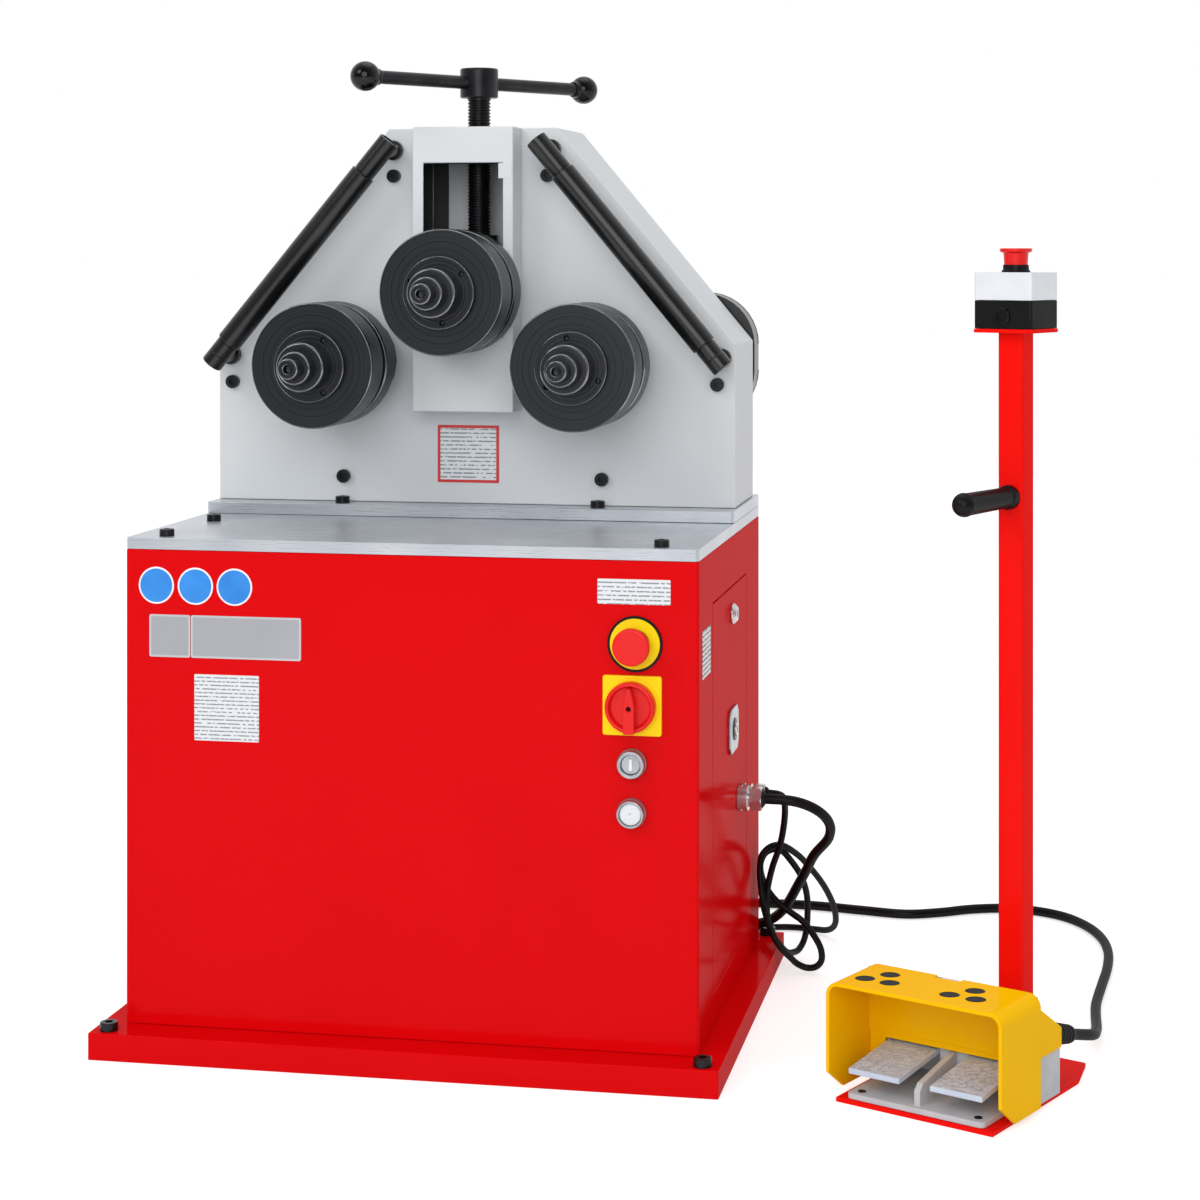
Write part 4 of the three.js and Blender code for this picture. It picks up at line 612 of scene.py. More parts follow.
# %% The roller stacks
rollers = {
    "front_roller": [(20.3, -87), (73, -87, 2.4), (73, -41, 3), (54, -41), (54, -27), (20.3, -27),
                     (20.3, -87)],
    "rear_roller": [(20.3, -26.7), (73, -26.7, 3), (73, 7, 3), (20.3, 7), (20.3, -26.7)],
    "clamp_nut": [(20.3, -131), (28.5, -131, 3.5), (28.5, -98), (42, -98, 1.6), (42, -87.3), (20.3, -87.3),
                  (20.3, -131)],
}
HOLE_RING = 35
# How far each nut happens to be turned, and where its shaft ends at the rear
STACKS = {"upper": (38, 128), "left": (60, 209.9), "right": (97, 209.9)}


def pin_hole(angle):
    """A cutter for one spanner hole in the clamp nut's ring."""
    across, up = math.cos(math.radians(angle)), math.sin(math.radians(angle))
    return turned("hole", [(0, -110), (3.4, -110), (3.4, -92), (0, -90)],
                  (HOLE_RING * across, 0, HOLE_RING * up), sides=24)


models = {part: turned(part, outline, (0, 0, 0)) for part, outline in rollers.items()}
bored(models["clamp_nut"], *(pin_hole(angle) for angle in (0, 120, 240)))
for stack, (turn, rear) in STACKS.items():
    x, z = STACK_AT[stack]
    for part, model in models.items():
        spin = Matrix.Rotation(-math.radians(turn), 4, "Y") if part == "clamp_nut" else Matrix()
        piece = copied(model, f"{stack}_{part}_turned", shift(x, 0, z) @ spin)
        worn_rims(settle(piece, blackened_stack_steel[stack], stack + "_rollers", f"{stack}_{part}"), x, z)
    shaft = turned(
        stack + "_shaft_turned",
        [(0, -159), (5.2, -161), (5.2, -173.2), (6, -174), (12, -174, 2.6), (12, -152), (19, -152, 2.8),
         (19, -131), (20, -131), (20, rear), (0, rear)],
        (x, 0, z),
    )
    worn_rims(settle(shaft, blackened_stack_steel[stack], stack + "_rollers", stack + "_shaft"), x, z, 0.4)
for model in models.values():
    bpy.data.objects.remove(model)

# %% [markdown]
# ## The feed screw and its T-handle
# The operator turns the cross bar, and the screw pushes the upper roller down. The screw's thread has a
# pitch of 4 mm. Its ridges are drawn as rings, which look the same as a helix at this size and close at
# both ends. The hub is blackened steel like the screw.

# %% Screw and hub
UP = (0, 0, 1)
SCREW_AT = (0, 93, 0)
PITCH = 4
thread = [(0, 892.5), (17, 892.5, 1), (17, 900.5), (13.9, 900.5), (13.9, 911)]
for i in range(40):
    foot = 911 + PITCH * i
    thread += [(12.4, foot + 1.2), (12.4, foot + 1.9), (13.9, foot + 3.1), (13.9, foot + PITCH)]
screw = turned("lead_screw_turned", [*thread, (13.9, 1083), (0, 1083)], SCREW_AT, UP, sides=48)
settle(screw, blackened_steel, "screw_body", "lead_screw", smooth=20)
hub = turned(
    "handle_hub_turned",
    [(14.5, 1073), (23, 1073, 2), (23, 1109, 2.4), (9, 1109, 0.6), (7.5, 1107.4), (0, 1107.4)],
    SCREW_AT, UP,
)
settle(hub, blackened_steel, "screw_body", "handle_hub")
print("thread from", thread[4][1], "to", thread[-1][1], "mm")

# %% [markdown]
# ## The cross bar and its knobs
# The bar goes through the hub, and a black ball of phenolic resin sits on each end. At rest the bar is
# turned out of the machine's plane. A sphere would have to be cut to join its neck, so the ball is a
# turned piece as well: its outline is an arc that starts on its short neck.

# %% Bar and knobs
BAR_AT = (0, 93, 1091)
BAR_TURN = math.radians(57)
REACH, BALL = 180, 17.5
along = Vector((math.cos(BAR_TURN), math.sin(BAR_TURN), 0))
bar = turned("handle_bar_turned", [(0, -174.5), (8, -174.5, 1), (8, 174.5, 1), (0, 174.5)], BAR_AT,
             along, UP)
settle(bar, blackened_steel, "screw_body", "handle_bar")
angles = [math.radians(37 + 143 * i / 16) for i in range(17)]
ball = [(BALL * math.sin(angle), REACH - BALL * math.cos(angle)) for angle in angles]
for name, way in (("knob_left", -1), ("knob_right", 1)):
    knob = turned(name + "_turned", [(0, 160), (9.6, 160, 0.8), (10.5, 164), *ball], BAR_AT, along * way,
                  UP)
    settle(knob, polished_black_resin, "screw_body", name)
print("knobs are", round(2 * BALL), "mm across")

# %% [markdown]
# ## The black tubes on the shoulders
# A black enamelled tube stands off each sloping shoulder on two studs. Its middle is a little thicker
# than the sleeves at its ends, and the upper end is closed by a set-in disc. The outline is spun round the
# line from its foot to its top, so that the tube slopes as it is made and nothing has to be turned later.

# %% Shoulder tubes and studs
for side, way in (("left", -1), ("right", 1)):
    foot, top = Vector((way * 312, 12, 751)), Vector((way * 89, 12, 1019))
    length = (top - foot).length
    tube = turned(
        f"shoulder_tube_{side}",
        [(0, 0), (13, 0, 2), (13, 15.5, 0.4), (12.5, 16.2), (13, 16.9, 0.4), (13, 33), (12.2, 33.6),
         (12.2, 34.6), (15, 35.2, 0.8), (15, length - 51, 0.8), (12.2, length - 50.4),
         (12.2, length - 49.2), (13, length - 48.6, 0.4), (13, length, 1), (10.6, length),
         (10.6, length - 1.4), (0, length - 1.4)],
        foot, top - foot, (0, 1, 0), 72,
    )
    settle(tube, stoved_black_enamel, "base", f"shoulder_bar_{side}")
    for end, x, z in (("top", 97.5, 1009), ("foot", 303, 761)):
        stud = turned(f"shoulder_stud_{side}_{end}",
                      [(0, 12), (9, 12), (9, 51), (12, 51, 1), (12, 59.7), (0, 59.7)],
                      (way * x, 0, z), sides=48)
        settle(stud, stoved_black_enamel, "base")
print("shoulder tube length:", round(length, 1), "mm")

# %% [markdown]
# ## Cast, milled and folded pieces
# The casting, the plates and the sheet-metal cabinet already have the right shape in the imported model.
# What they lack is the small radius that every real edge has, which is what catches the light. A copy of
# each solid is cleaned up, and a bevel rounds its edges.

# %% Edge-rounding helper


def softened(node, width, material, body="base", sharper_than=25, segments=3):
    """A copy of a solid with its doubles merged, its flat faces joined and its edges rounded."""
    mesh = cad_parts[node].data.copy()
    piece = bpy.data.objects.new(node + "_edged", mesh)
    scene.collection.objects.link(piece)
    activate(piece)
    bpy.ops.object.mode_set(mode="EDIT")
    bpy.ops.mesh.select_all(action="SELECT")
    bpy.ops.mesh.remove_doubles(threshold=0.01 * MM)
    bpy.ops.mesh.dissolve_limited(angle_limit=math.radians(1))
    bpy.ops.object.mode_set(mode="OBJECT")
    edge = piece.modifiers.new("edge", "BEVEL")
    edge.width = width * MM
    edge.segments = segments
    edge.limit_method = "ANGLE"
    edge.angle_limit = math.radians(sharper_than)
    edge.use_clamp_overlap = False
    bpy.ops.object.modifier_apply(modifier=edge.name)
    return settle(piece, material, body, node)


print("edges sharper than 25 degrees are rounded")

# %% [markdown]
# ## The pieces with rounded edges
# A casting has the largest radii, then folded and enamelled sheet, then plates and mouldings. The
# radius goes with the piece's material and make, so pieces of one make are listed together.

# %% The softened solids
for material, body, width, names in (
    (stoved_red_enamel, "base", 1.2, ("plinth", "cabinet_shell")),
    (stoved_red_enamel, "base", 0.8, ("access_panel",)),
    (stoved_bright_enamel, "base", 0.8, ("floor_plate", "post")),
    (sprayed_grey_enamel, "base", 1.5, ("head_casting", "rear_cover", "slide_guide")),
    (ground_table_steel, "base", 0.8, ("table_plate", "sub_plate")),
    (ground_guide_steel, "carriage_body", 0.8, ("carriage",)),
    (eroded_grey_abs, "base", 0.8, ("pedal_base",)),
    (stoved_yellow_enamel, "base", 0.9, ("guard",)),
    (eroded_black_polyamide, "base", 0.8, ("estop_box",)),
    (moulded_white_abs, "base", 0.8, ("estop_box_cover",)),
):
    for name in names:
        piece = softened(name, width, material, body)
        print(name, "faces:", len(piece.data.polygons))
softened("gear_motor", 0.8, stoved_black_enamel)

# %% [markdown]
# ## The channel's painted shade
# The slide runs in a channel behind the window of the guide. Its inside lies in deep shade, which is
# painted on in near black, so the window looks like a dark slot. A black box could be put inside, but
# its walls would fight with the real ones. So the faces inside the channel get that painted shade as a
# second finish.

# %% Inside the window
CHANNEL_SIDE, CHANNEL_FOOT, CHANNEL_TOP = 48.8, 780, 1012
# Painted shade: the faces inside the channel are coloured near black
for name, front, back in (("slide_guide", 15.4, 59), ("head_casting", 60.5, 130)):
    def in_channel(centre, normal):
        within_height = CHANNEL_FOOT < centre.z < CHANNEL_TOP
        return abs(centre.x) < CHANNEL_SIDE and front < centre.y < back and within_height
    shaded_piece = accent(bpy.data.objects[name + "_edged"], painted_channel_shade, in_channel)
    print(name, "black faces:", sum(face.material_index for face in shaded_piece.data.polygons))

# %% [markdown]
# ## Flat pieces
# Signs, plates and the grip of the main switch are flat shapes with some thickness. A scaled cube would
# do for the plainest, but it has no rounded corners. So an outline is traced like the half outline of a
# turned piece, but it is closed, filled with a face and pushed out.

# %% Slab helper


def slab(name, outline, centre, across, up, thickness, edge=0.0):
    """A flat piece: the outline lies across and up from the centre, in millimetres."""
    centre, across, up = Vector(centre) * MM, Vector(across), Vector(up)
    line = [centre + (across * u + up * v) * MM for u, v in eased(outline)]
    piece = traced(name, [*line, line[0]])
    bpy.ops.mesh.remove_doubles(threshold=SAME_POINT)
    bpy.ops.mesh.edge_face_add()
    bpy.ops.mesh.extrude_region_move(TRANSFORM_OT_translate={"value": across.cross(up) * thickness * MM})
    tidied()
    if edge:
        rounding = piece.modifiers.new("edge", "BEVEL")
        rounding.width = edge * MM
        rounding.segments = 2
        rounding.angle_limit = math.radians(50)
        bpy.ops.object.modifier_apply(modifier=rounding.name)
    return piece


def rectangle(width, height, corner):
    """The outline of a rectangle round its centre, with rounded corners."""
    w, h = width / 2, height / 2
    return [(-w, -h, corner), (w, -h, corner), (w, h, corner), (-w, h, corner)]


FRONT = ((1, 0, 0), (0, 0, 1))
SIDE = ((0, 1, 0), (0, 0, 1))
print("outline points of a rounded rectangle:", len(eased(rectangle(10, 6, 1))))

# %% [markdown]
# ## Socket screws
# Black socket screws hold the table, the sub-plate and the head, and four bolt the plinth's corners. One
# screw is modelled upright: a turned head whose hexagon socket is cut out, because a painted hexagon
# would have no depth. Its copies are turned, scaled to their size and moved.

# %% The screws
screw_model = turned("screw_model", [(0, -2), (9, -2), (9, 8.6, 1.4), (5.4, 8.6, 0.5), (0, 8.6)],
                     (0, 0, 0), UP, sides=40)
bpy.ops.mesh.primitive_cylinder_add(vertices=6, radius=4.6 * MM, depth=12 * MM, location=(0, 0, 10 * MM))
bored(screw_model, bpy.context.object)
toward = Matrix.Rotation(math.radians(90), 4, "X")
screws = [
    (shift(x, y, z) @ Matrix.Scale(size, 4), f"{where}_screw_{i}")
    for where, z, size, places in (
        ("plinth", 30, 1.1, ((-331, -257), (331, -257), (-331, 255), (331, 257))),
        ("table", 570, 0.92, ((-282, -210), (-284, -55), (279, -210))),
        ("sub_plate", 584, 0.95, ((-157, 43), (157, 43))),
    )
    for i, (x, y) in enumerate(places)
] + [
    (shift(x, 60, z) @ toward @ Matrix.Scale(0.9, 4), f"head_screw_{i}")
    for i, (x, z) in enumerate(((-97, 978), (93, 978), (-301, 728), (298, 730), (-160, 615), (159, 616)))
]
for matrix, name in screws:
    settle(copied(screw_model, name, matrix), blackened_steel, "base")
bpy.data.objects.remove(screw_model)
print("screws:", len(screws))

# %% [markdown]
# ## The emergency stop
# A flat red mushroom sits on a yellow disc with a black rim. Its stem passes through a black collar and
# through holes in both, wide enough for the button to be pushed in. They could be one piece, but the
# button moves and the colours differ, so each is turned by itself, outwards from one point on the
# cabinet's front.

# %% Emergency stop
FACE = -230
OUT = (0, -1, 0)
stop = (253.6, FACE, 468)
disc = turned("estop_disc", [(9.6, 0.3), (27.3, 0.3), (27.3, 2.2, 0.3), (9.6, 2.2), (9.6, 0.3)], stop, OUT)
settle(disc, moulded_yellow_abs, "base", "estop_base")
rim = turned("estop_disc_rim", [(27.3, 0.3), (30, 0.3), (30, 2.3, 0.5), (27.3, 2.3), (27.3, 0.3)],
             stop, OUT)
settle(rim, eroded_black_polyamide, "base")
collar = turned(
    "estop_collar",
    [(9.5, 2.2), (16, 2.2), (16, 4.4, 0.8), (14.6, 5), (14.6, 10, 0.8), (9.5, 10), (9.5, 2.2)],
    stop, OUT,
)
settle(collar, eroded_black_polyamide, "base")
mushroom = turned(
    "estop_cap",
    [(0, 5.3), (9, 5.3), (9, 17), (16.5, 17, 1), (20, 20.5, 1.5), (20, 29, 3.2), (0, 29)],
    stop, OUT,
)
settle(mushroom, moulded_red_polyamide, "estop_body", "estop_mushroom")
print("the stop stands", 29, "mm out of the cabinet's front")

# %% [markdown]
# ## The main switch
# A yellow square plate carries a red rotary knob: a shallow cup with a pointed grip across it. The grip
# has a hole for a padlock, which is bored, and a black disc at its floor is painted shade in the hole.
# The plate and the grip are flat shapes with rounded edges, and the ring and the cup are turned. The grip
# stands in the cup without being joined to it, because a union would break up the fine edges of both.

# %% Main switch
switch = (251, FACE, 402.5)


def before_switch(distance):
    """The point that far in front of the cabinet, on the switch's axis."""
    return (switch[0], FACE - distance, switch[2])


plate = slab("switch_plate_edged", rectangle(64, 64, 3), before_switch(0.3), *FRONT, 4.7, edge=0.9)
settle(plate, moulded_yellow_abs, "base", "switch_plate")
ring = turned("switch_ring", [(6.2, 4.8), (30, 4.8), (30, 8, 1), (6.2, 8), (6.2, 4.8)], switch, OUT)
settle(ring, moulded_yellow_abs, "base")
cup = turned(
    "switch_cup",
    [(0, 8.3), (27, 8.3, 0.6), (27, 21.3, 2.4), (23, 21.3, 1.2), (21.4, 13.3, 1.2), (0, 13.3)],
    switch, OUT,
)
settle(cup, moulded_red_polyamide, "switch_body", "switch_knob")
grip_outline = [(-6, -27, 1.5), (6, -27, 1.5), (6, 4, 3), (2, 21, 1), (-2, 21, 1), (-6, 4, 3)]
handle = slab("switch_grip", grip_outline, before_switch(13), *FRONT, 13.3, edge=1.4)
eye = turned("eye", [(0, 20), (2.9, 20), (2.9, 30), (0, 30)], switch, OUT, sides=24)
settle(bored(handle, eye), moulded_red_polyamide, "switch_body")
# Painted shade: a black disc at the floor of the padlock hole
dark = turned("switch_eye_shade", [(0, 19.8), (2.88, 19.8), (2.88, 20.4), (0, 20.4)], switch, OUT, sides=24)
settle(dark, eroded_black_polyamide, "switch_body")
print("main switch pieces:", 5)

# %% [markdown]
# ## The push buttons
# Two push buttons sit below the switch: a metal one with a raised white bar, and a white one. Their metal
# bezels are alike but for the bore: each has a plain foot, a shallow groove above it, and a wall that
# narrows a little towards the front.

# %% Push buttons
start, reset = (250.7, FACE, 340.7), (250.3, FACE, 287.7)
for name, place, bore in (("start", start, 10.5), ("reset", reset, 12)):
    bezel = turned(
        name + "_bezel_turned",
        [(bore, 0.3), (16, 0.3), (16, 6.2, 0.5), (15.3, 7), (15.3, 8), (14.6, 13.9, 1.2),
         (bore + 0.5, 13.9, 0.8), (bore, 12.6), (bore, 0.3)],
        place, OUT,
    )
    settle(bezel, brushed_steel, "base", name + "_bezel")
button = turned("start_cap", [(0, 4.6), (10.2, 4.6), (10.2, 11, 0.6), (0, 11)], start, OUT)
settle(button, brushed_steel, "start_body", "start_button")
bar = slab("start_bar", rectangle(3.6, 13, 1.7), (start[0], FACE - 11, start[2]), *FRONT, 1, edge=0.4)
settle(bar, moulded_white_abs, "start_body")
button = turned("reset_cap", [(0, 4.6), (11.7, 4.6), (11.7, 11.4, 1), (0, 12.5, 4)], reset, OUT)
settle(button, moulded_white_abs, "reset_body", "reset_button")
print("push buttons stand", 14, "mm out of the panel")

# %% [markdown]
# ## Finishes of signs and stickers
# The signs and plates are plain, and a sticker has the grey rules of a table. They could be a picture, but
# a finish that draws them stays sharp and needs no file. The height above the sticker's foot is divided
# by the distance of the rules, and what is left over after each whole step says whether a point lies on
# a rule. Noise breaks the rules up.

# %% Films and plates


def ruled(name, low, ink="#868c93", paper="#dfe3e7", line=5.0, width=0.34):
    """White film with grey rules, which begin at a height in millimetres."""
    material, tree, surface, place = finish(name, Roughness=0.4)
    height = add_node(tree, "SeparateXYZ", {"Vector": place}).outputs["Z"]
    rise = add_node(tree, "Math", {0: height, 1: low * MM}, operation="SUBTRACT").outputs["Value"]
    step = add_node(tree, "Math", {0: rise, 1: line * MM}, operation="DIVIDE").outputs["Value"]
    part = add_node(tree, "Math", {0: step}, operation="FRACT").outputs["Value"]
    rule = add_node(tree, "Math", {0: part, 1: width}, operation="LESS_THAN").outputs["Value"]
    breaks = between(tree, grain(tree, place, 3.2, 1, 0.4), 0, 1, 0.4, 0.46)
    mark = add_node(tree, "Math", {0: rule, 1: breaks}, operation="MULTIPLY").outputs["Value"]
    tree.links.new(shade_between(tree, mark, paper, ink, 0.1, 0.9), surface.inputs["Base Color"])
    return material


# Enamelled signs: flat, even colours
enamelled_blue = painted("enamelled_blue", "#1f7fd6", "#2f8fe6", 30, 0.35)
enamelled_white = painted("enamelled_white", "#e8ecf0", "#f4f6f8", 30, 0.35)
enamelled_red = painted("enamelled_red", "#cf2c2c", "#d93636", 30, 0.35)
# Anodised aluminium plates: a dull grey field inside a paler, brushed border
anodised_grey = painted("anodised_grey", "#a4a6ac", "#a9abb1", 60, 0.38, Metallic=0.3)
brushed_pale_aluminium = painted("brushed_pale_aluminium", "#c0c2c8", "#c6c8ce", 60, 0.38, Metallic=0.3)
# Printed polyester film: white, with fine grey rules
front_film = ruled("front_film", 349, line=4.2)
upper_film = ruled("upper_film", 514, line=4.6)
side_film = ruled("side_film", 430, ink="#3a3e44", line=5.2, width=0.5)
head_film = ruled("head_film", 615, line=4.8)

# %% [markdown]
# ## Signs, plates and stickers
# The front carries three round blue signs, a rating plate in two parts, and two stickers. A third one
# with a red border is on the head, and a fourth on the side. A small grey tab hangs in the guide's
# window. A second finish on the cabinet could show them, but a thin slab has an edge that catches the
# light, as a real plate does. A border is a larger slab behind the field.

# %% Signs, plates and stickers
SIDE_FACE = 322.5


def film(name, x, z, width, height, material, y=FACE, corner=1.5, thickness=0.4):
    """A thin plate on the cabinet's front, or at another depth."""
    piece = slab(name, rectangle(width, height, corner), (x, y, z), *FRONT, thickness)
    return settle(piece, material, "base")


film("upper_sticker", 252.3, 523.5, 79.5, 27, upper_film)
film("ruled_sticker", -204.8, 383.8, 74.7, 73, front_film)
film("plate_small_border", -270.7, 461.8, 47.5, 47, brushed_pale_aluminium, corner=2.5, thickness=0.8)
film("plate_small", -270.7, 461.8, 43, 42.5, anodised_grey, FACE - 0.8, 2, 0.2)
film("plate_large_border", -182.6, 461.8, 127, 47, brushed_pale_aluminium, corner=2.5, thickness=0.8)
film("plate_large", -182.6, 461.8, 122.5, 42.5, anodised_grey, FACE - 0.8, 2, 0.2)
for i, x in enumerate((-286.5, -241, -195.8)):
    place = (x, FACE, 517.4)
    rim = turned(f"sign_rim_{i}", [(0, 0), (20.5, 0), (20.5, 0.5, 0.2), (0, 0.5)], place, OUT)
    settle(rim, enamelled_white, "base")
    sign = turned(f"sign_{i}", [(0, 0.5), (18.6, 0.5), (18.6, 0.7), (0, 0.7)], place, OUT)
    settle(sign, enamelled_blue, "base")
film("head_sticker_border", -5, 643.7, 76, 69, enamelled_red, 60)
film("head_sticker", -5, 643.7, 69, 62, head_film, 59.6, 1, 0.3)
tab = slab("window_tab", rectangle(16, 18, 1), (51.5, 14, 982.5), *FRONT, 0.6)
settle(tab, sprayed_grey_enamel, "base")
sticker = slab("side_sticker", rectangle(55, 52, 1.5), (SIDE_FACE, -178.3, 453), *SIDE, 0.4)
settle(sticker, side_film, "base")
print("signs, plates and stickers:", 16, "pieces")

# %% [markdown]
# ## The panel on the right side
# A lift-off panel closes the cabinet's side. It has a cylinder lock, which turns a cam behind the sheet,
# and a latch plate with cut corners, a blackened rosette and a plated cylinder. Round pieces on this
# side are turned along X.

# %% Lock and latch plate


def turned_sideways(name, outline, y, z, sides=64):
    """A piece turned along X, outwards from the cabinet's right side."""
    return turned(name, outline, (SIDE_FACE, y, z), (1, 0, 0), (0, 1, 0), sides)


lock = turned_sideways(
    "panel_lock_turned",
    [(0, 0.3), (12, 0.3, 0.5), (12, 2.5, 0.8), (8, 7, 0.8), (4, 7, 0.3), (3.6, 5), (0, 5)], 9, 468,
)
settle(lock, nickel_plate, "lock_body", "panel_lock")
# Painted shade: a thin black bar on the lock's face stands for its keyway
slot = slab("lock_keyway_shade", rectangle(2, 10, 0.8), (SIDE_FACE + 6.9, 9, 468), *SIDE, 0.3)
settle(slot, eroded_black_polyamide, "lock_body")
cut_corners = [(-31, -17), (-22, -25.5), (22, -25.5), (31, -17), (31, 17), (22, 25.5), (-22, 25.5),
               (-31, 17)]
latch = slab("latch_plate", cut_corners, (SIDE_FACE, 11.5, 333.5), *SIDE, 3.2, edge=0.9)
settle(latch, brushed_steel, "base")
for name, profile, material in (
    ("latch_rosette", [(0, 3), (13, 3), (13, 4.4, 0.6), (0, 4.4)], blackened_steel),
    ("latch_cylinder", [(0, 4.2), (8, 4.2), (8, 6.4, 1), (0, 6.4)], nickel_plate),
):
    settle(turned_sideways(name, profile, 11.5, 334, 48), material, "base")
# Painted shade: a thin black bar on the latch's cylinder stands for its keyway
latch_keyway_bar = slab("latch_keyway_shade", rectangle(1.8, 8, 0.7), (SIDE_FACE + 6.3, 11.5, 334), *SIDE, 0.3)
settle(latch_keyway_bar, eroded_black_polyamide, "base")
print("pieces on the panel:", 6)

# %% [markdown]
# ## The cable glands
# A gland holds its cable by a rubber seal, which a hexagonal nut squeezes. The nut's corners are turned
# off on both faces: a hexagonal prism is cut down to what it shares with a turned crown, as a lathe does
# with hexagonal bar.

# %% Cable glands


def cable_gland(name, y, z, base, neck, nut, cable, material):
    """A threaded base, a neck, a hexagonal nut with turned-off corners, and the seal."""
    body = turned_sideways(
        name + "_turned",
        [(0, 0.3), (base, 0.3, 0.6), (base, 4.5), (base - 1, 5), (base - 1, 6), (base, 6.5),
         (base, 13, 1), (neck, 13), (neck, 17), (0, 17)], y, z,
    )
    settle(body, material, "base", name)
    bpy.ops.mesh.primitive_cylinder_add(
        vertices=6, radius=nut * MM, depth=12 * MM, location=(345.4 * MM, y * MM, z * MM),
        rotation=(0, math.radians(90), 0),
    )
    hexagon = bpy.context.object
    hexagon.name = name + "_nut"
    bpy.ops.object.transform_apply(location=True, rotation=True, scale=True)
    crown = turned_sideways(
        "crown", [(0, 16.7), (nut - 1.6, 16.7), (nut, 18.4), (nut, 27.4), (nut - 1.6, 29), (0, 29)], y, z,
    )
    meet = hexagon.modifiers.new("crown", "BOOLEAN")
    meet.operation = "INTERSECT"
    meet.object = crown
    activate(hexagon)
    bpy.ops.object.modifier_apply(modifier=meet.name)
    bpy.data.objects.remove(crown)
    settle(hexagon, material, "base", smooth=25)
    seal = turned_sideways(
        name + "_seal",
        [(cable, 28.7), (nut - 3.4, 28.7), (cable + 1.4, 32.4, 0.8), (cable, 32.4), (cable, 28.7)],
        y, z, 48,
    )
    settle(seal, moulded_rubber, "base")


cable_gland("cable_gland", 58, 244, 14.5, 10, 15, 6, nickel_plate)
cable_gland("lead_gland", 87, 245, 10, 7, 11, 4, nickel_plate)
print("glands:", 2)

# %% [markdown]
# ## The pedal switch
# Everything on the stand is modelled in the stand's own frame and then moved to its place on the floor.
# The guard's top carries six black discs with raised rims. A black band shows in the seam between the
# yellow housing and the grey base, and a bright strip lies in the notch of the guard's top. A yellow
# sheet closes the guard behind the pedals.

# %% The guard's discs and trim
STAND_TURN = math.radians(-24.9)
HOOD_TOP = 124
stand = shift(607, -177, 0) @ Matrix.Rotation(STAND_TURN, 4, "Z")


def on_stand(piece, material, body, *nodes, smooth=40):
    """Moves a piece from the stand's frame to its place, and settles it."""
    piece.data.transform(stand)
    return settle(piece, material, body, *nodes, smooth=smooth)


discs = ((-73, -97), (-58, -70.5), (-44, -96), (26.5, -96.2), (42, -69.7), (56.2, -95))
disc_outline = [(0, 0), (10.6, 0), (10.6, 0.8), (0, 0.8)]
rim_outline = [(10.6, 0), (12.2, 0), (12.2, 0.6), (11.4, 1.3, 0.3), (10.6, 0.8), (10.6, 0)]
for i, (x, y) in enumerate(discs):
    disc = turned(f"guard_disc_{i}", disc_outline, (x, y, HOOD_TOP), UP, sides=40)
    on_stand(disc, eroded_black_polyamide, "base")
    rim = turned(f"guard_rim_{i}", rim_outline, (x, y, HOOD_TOP), UP, sides=40)
    on_stand(rim, stoved_yellow_enamel, "base")
for i, x in enumerate((-68, 68)):
    head = turned(f"pedal_screw_{i}",
                  [(0, 11), (4.4, 11), (4.4, 12.2, 0.8), (1.8, 12.2), (1.8, 11.4), (0, 11.4)],
                  (x, -112, 0), UP, sides=24)
    on_stand(head, blackened_steel, "base")
strip = slab("notch_strip", rectangle(26, 2.4, 0.5), (-6, -38.5, 119), (1, 0, 0), (0, 1, 0), 3)
on_stand(strip, nickel_plate, "base")
band = slab("housing_band", rectangle(189, 56, 2), (0, -7.5, 53.2), (1, 0, 0), (0, 1, 0), 1.2)
on_stand(band, eroded_black_polyamide, "base")
back = slab(
    "guard_back",
    [(-98, 12), (-79.5, 12), (-79.5, 48.6), (79.5, 48.6), (79.5, 12), (98, 12), (98, 54.6), (-98, 54.6)],
    (0, -40, 0), (1, 0, 0), UP, 3.6, edge=0.4,
)
on_stand(back, stoved_yellow_enamel, "base")
print("guard discs:", len(discs))

# %% [markdown]
# ## The pedals
# Each pedal is a cast plate with a raised relief of short worms against slipping. The relief is shallow,
# so it is a bump in the finish, and it is drawn coarser and deeper than it is, so that it shows. Where a
# noise passes its middle value, its contour lines wind about, and a narrow band round them makes the
# worms. The noise is stretched across the pedals, which stand turned, and it shows only on faces that
# look up. The grey of the casting is cool, because the yellow guard warms whatever light reaches it.

# %% The pedals' relief
pedal_metal, tree, surface, place = finish("cast_pedal_metal", Roughness=0.5, **MATT_SKIN)
tone = shade_between(tree, grain(tree, place, 25, 2), "#bfcadb", "#c9d5e6")
tree.links.new(tone, surface.inputs["Base Color"])
WORM_SCALE = 270
level = add_node(tree, "Mapping", {"Vector": place, "Rotation": (0, 0, -STAND_TURN),
                                   "Scale": (0.4, 1, 1)}).outputs["Vector"]
worm = add_node(tree, "TexNoise", {"Vector": level, "Scale": WORM_SCALE, "Detail": 0.5, "Distortion": 1.0})
vein = add_node(tree, "Math", {0: worm.outputs["Fac"], 1: 0.5}, operation="SUBTRACT").outputs["Value"]
away = add_node(tree, "Math", {0: vein}, operation="ABSOLUTE").outputs["Value"]
raised = between(tree, away, 1, 0, 0.008, 0.035)
normal = add_node(tree, "NewGeometry").outputs["Normal"]
facing = add_node(tree, "SeparateXYZ", {"Vector": normal}).outputs["Z"]
upward = between(tree, facing, 0, 1, 0.9, 0.97)
height = add_node(tree, "Math", {0: raised, 1: upward}, operation="MULTIPLY").outputs["Value"]
relief(tree, surface, height, 1.6, 1.0)
for pedal in ("pedal_left", "pedal_right"):
    softened(pedal, 0.9, pedal_metal, pedal + "_body")
print("worms are about", round(1 / (WORM_SCALE * MM), 1), "mm apart")

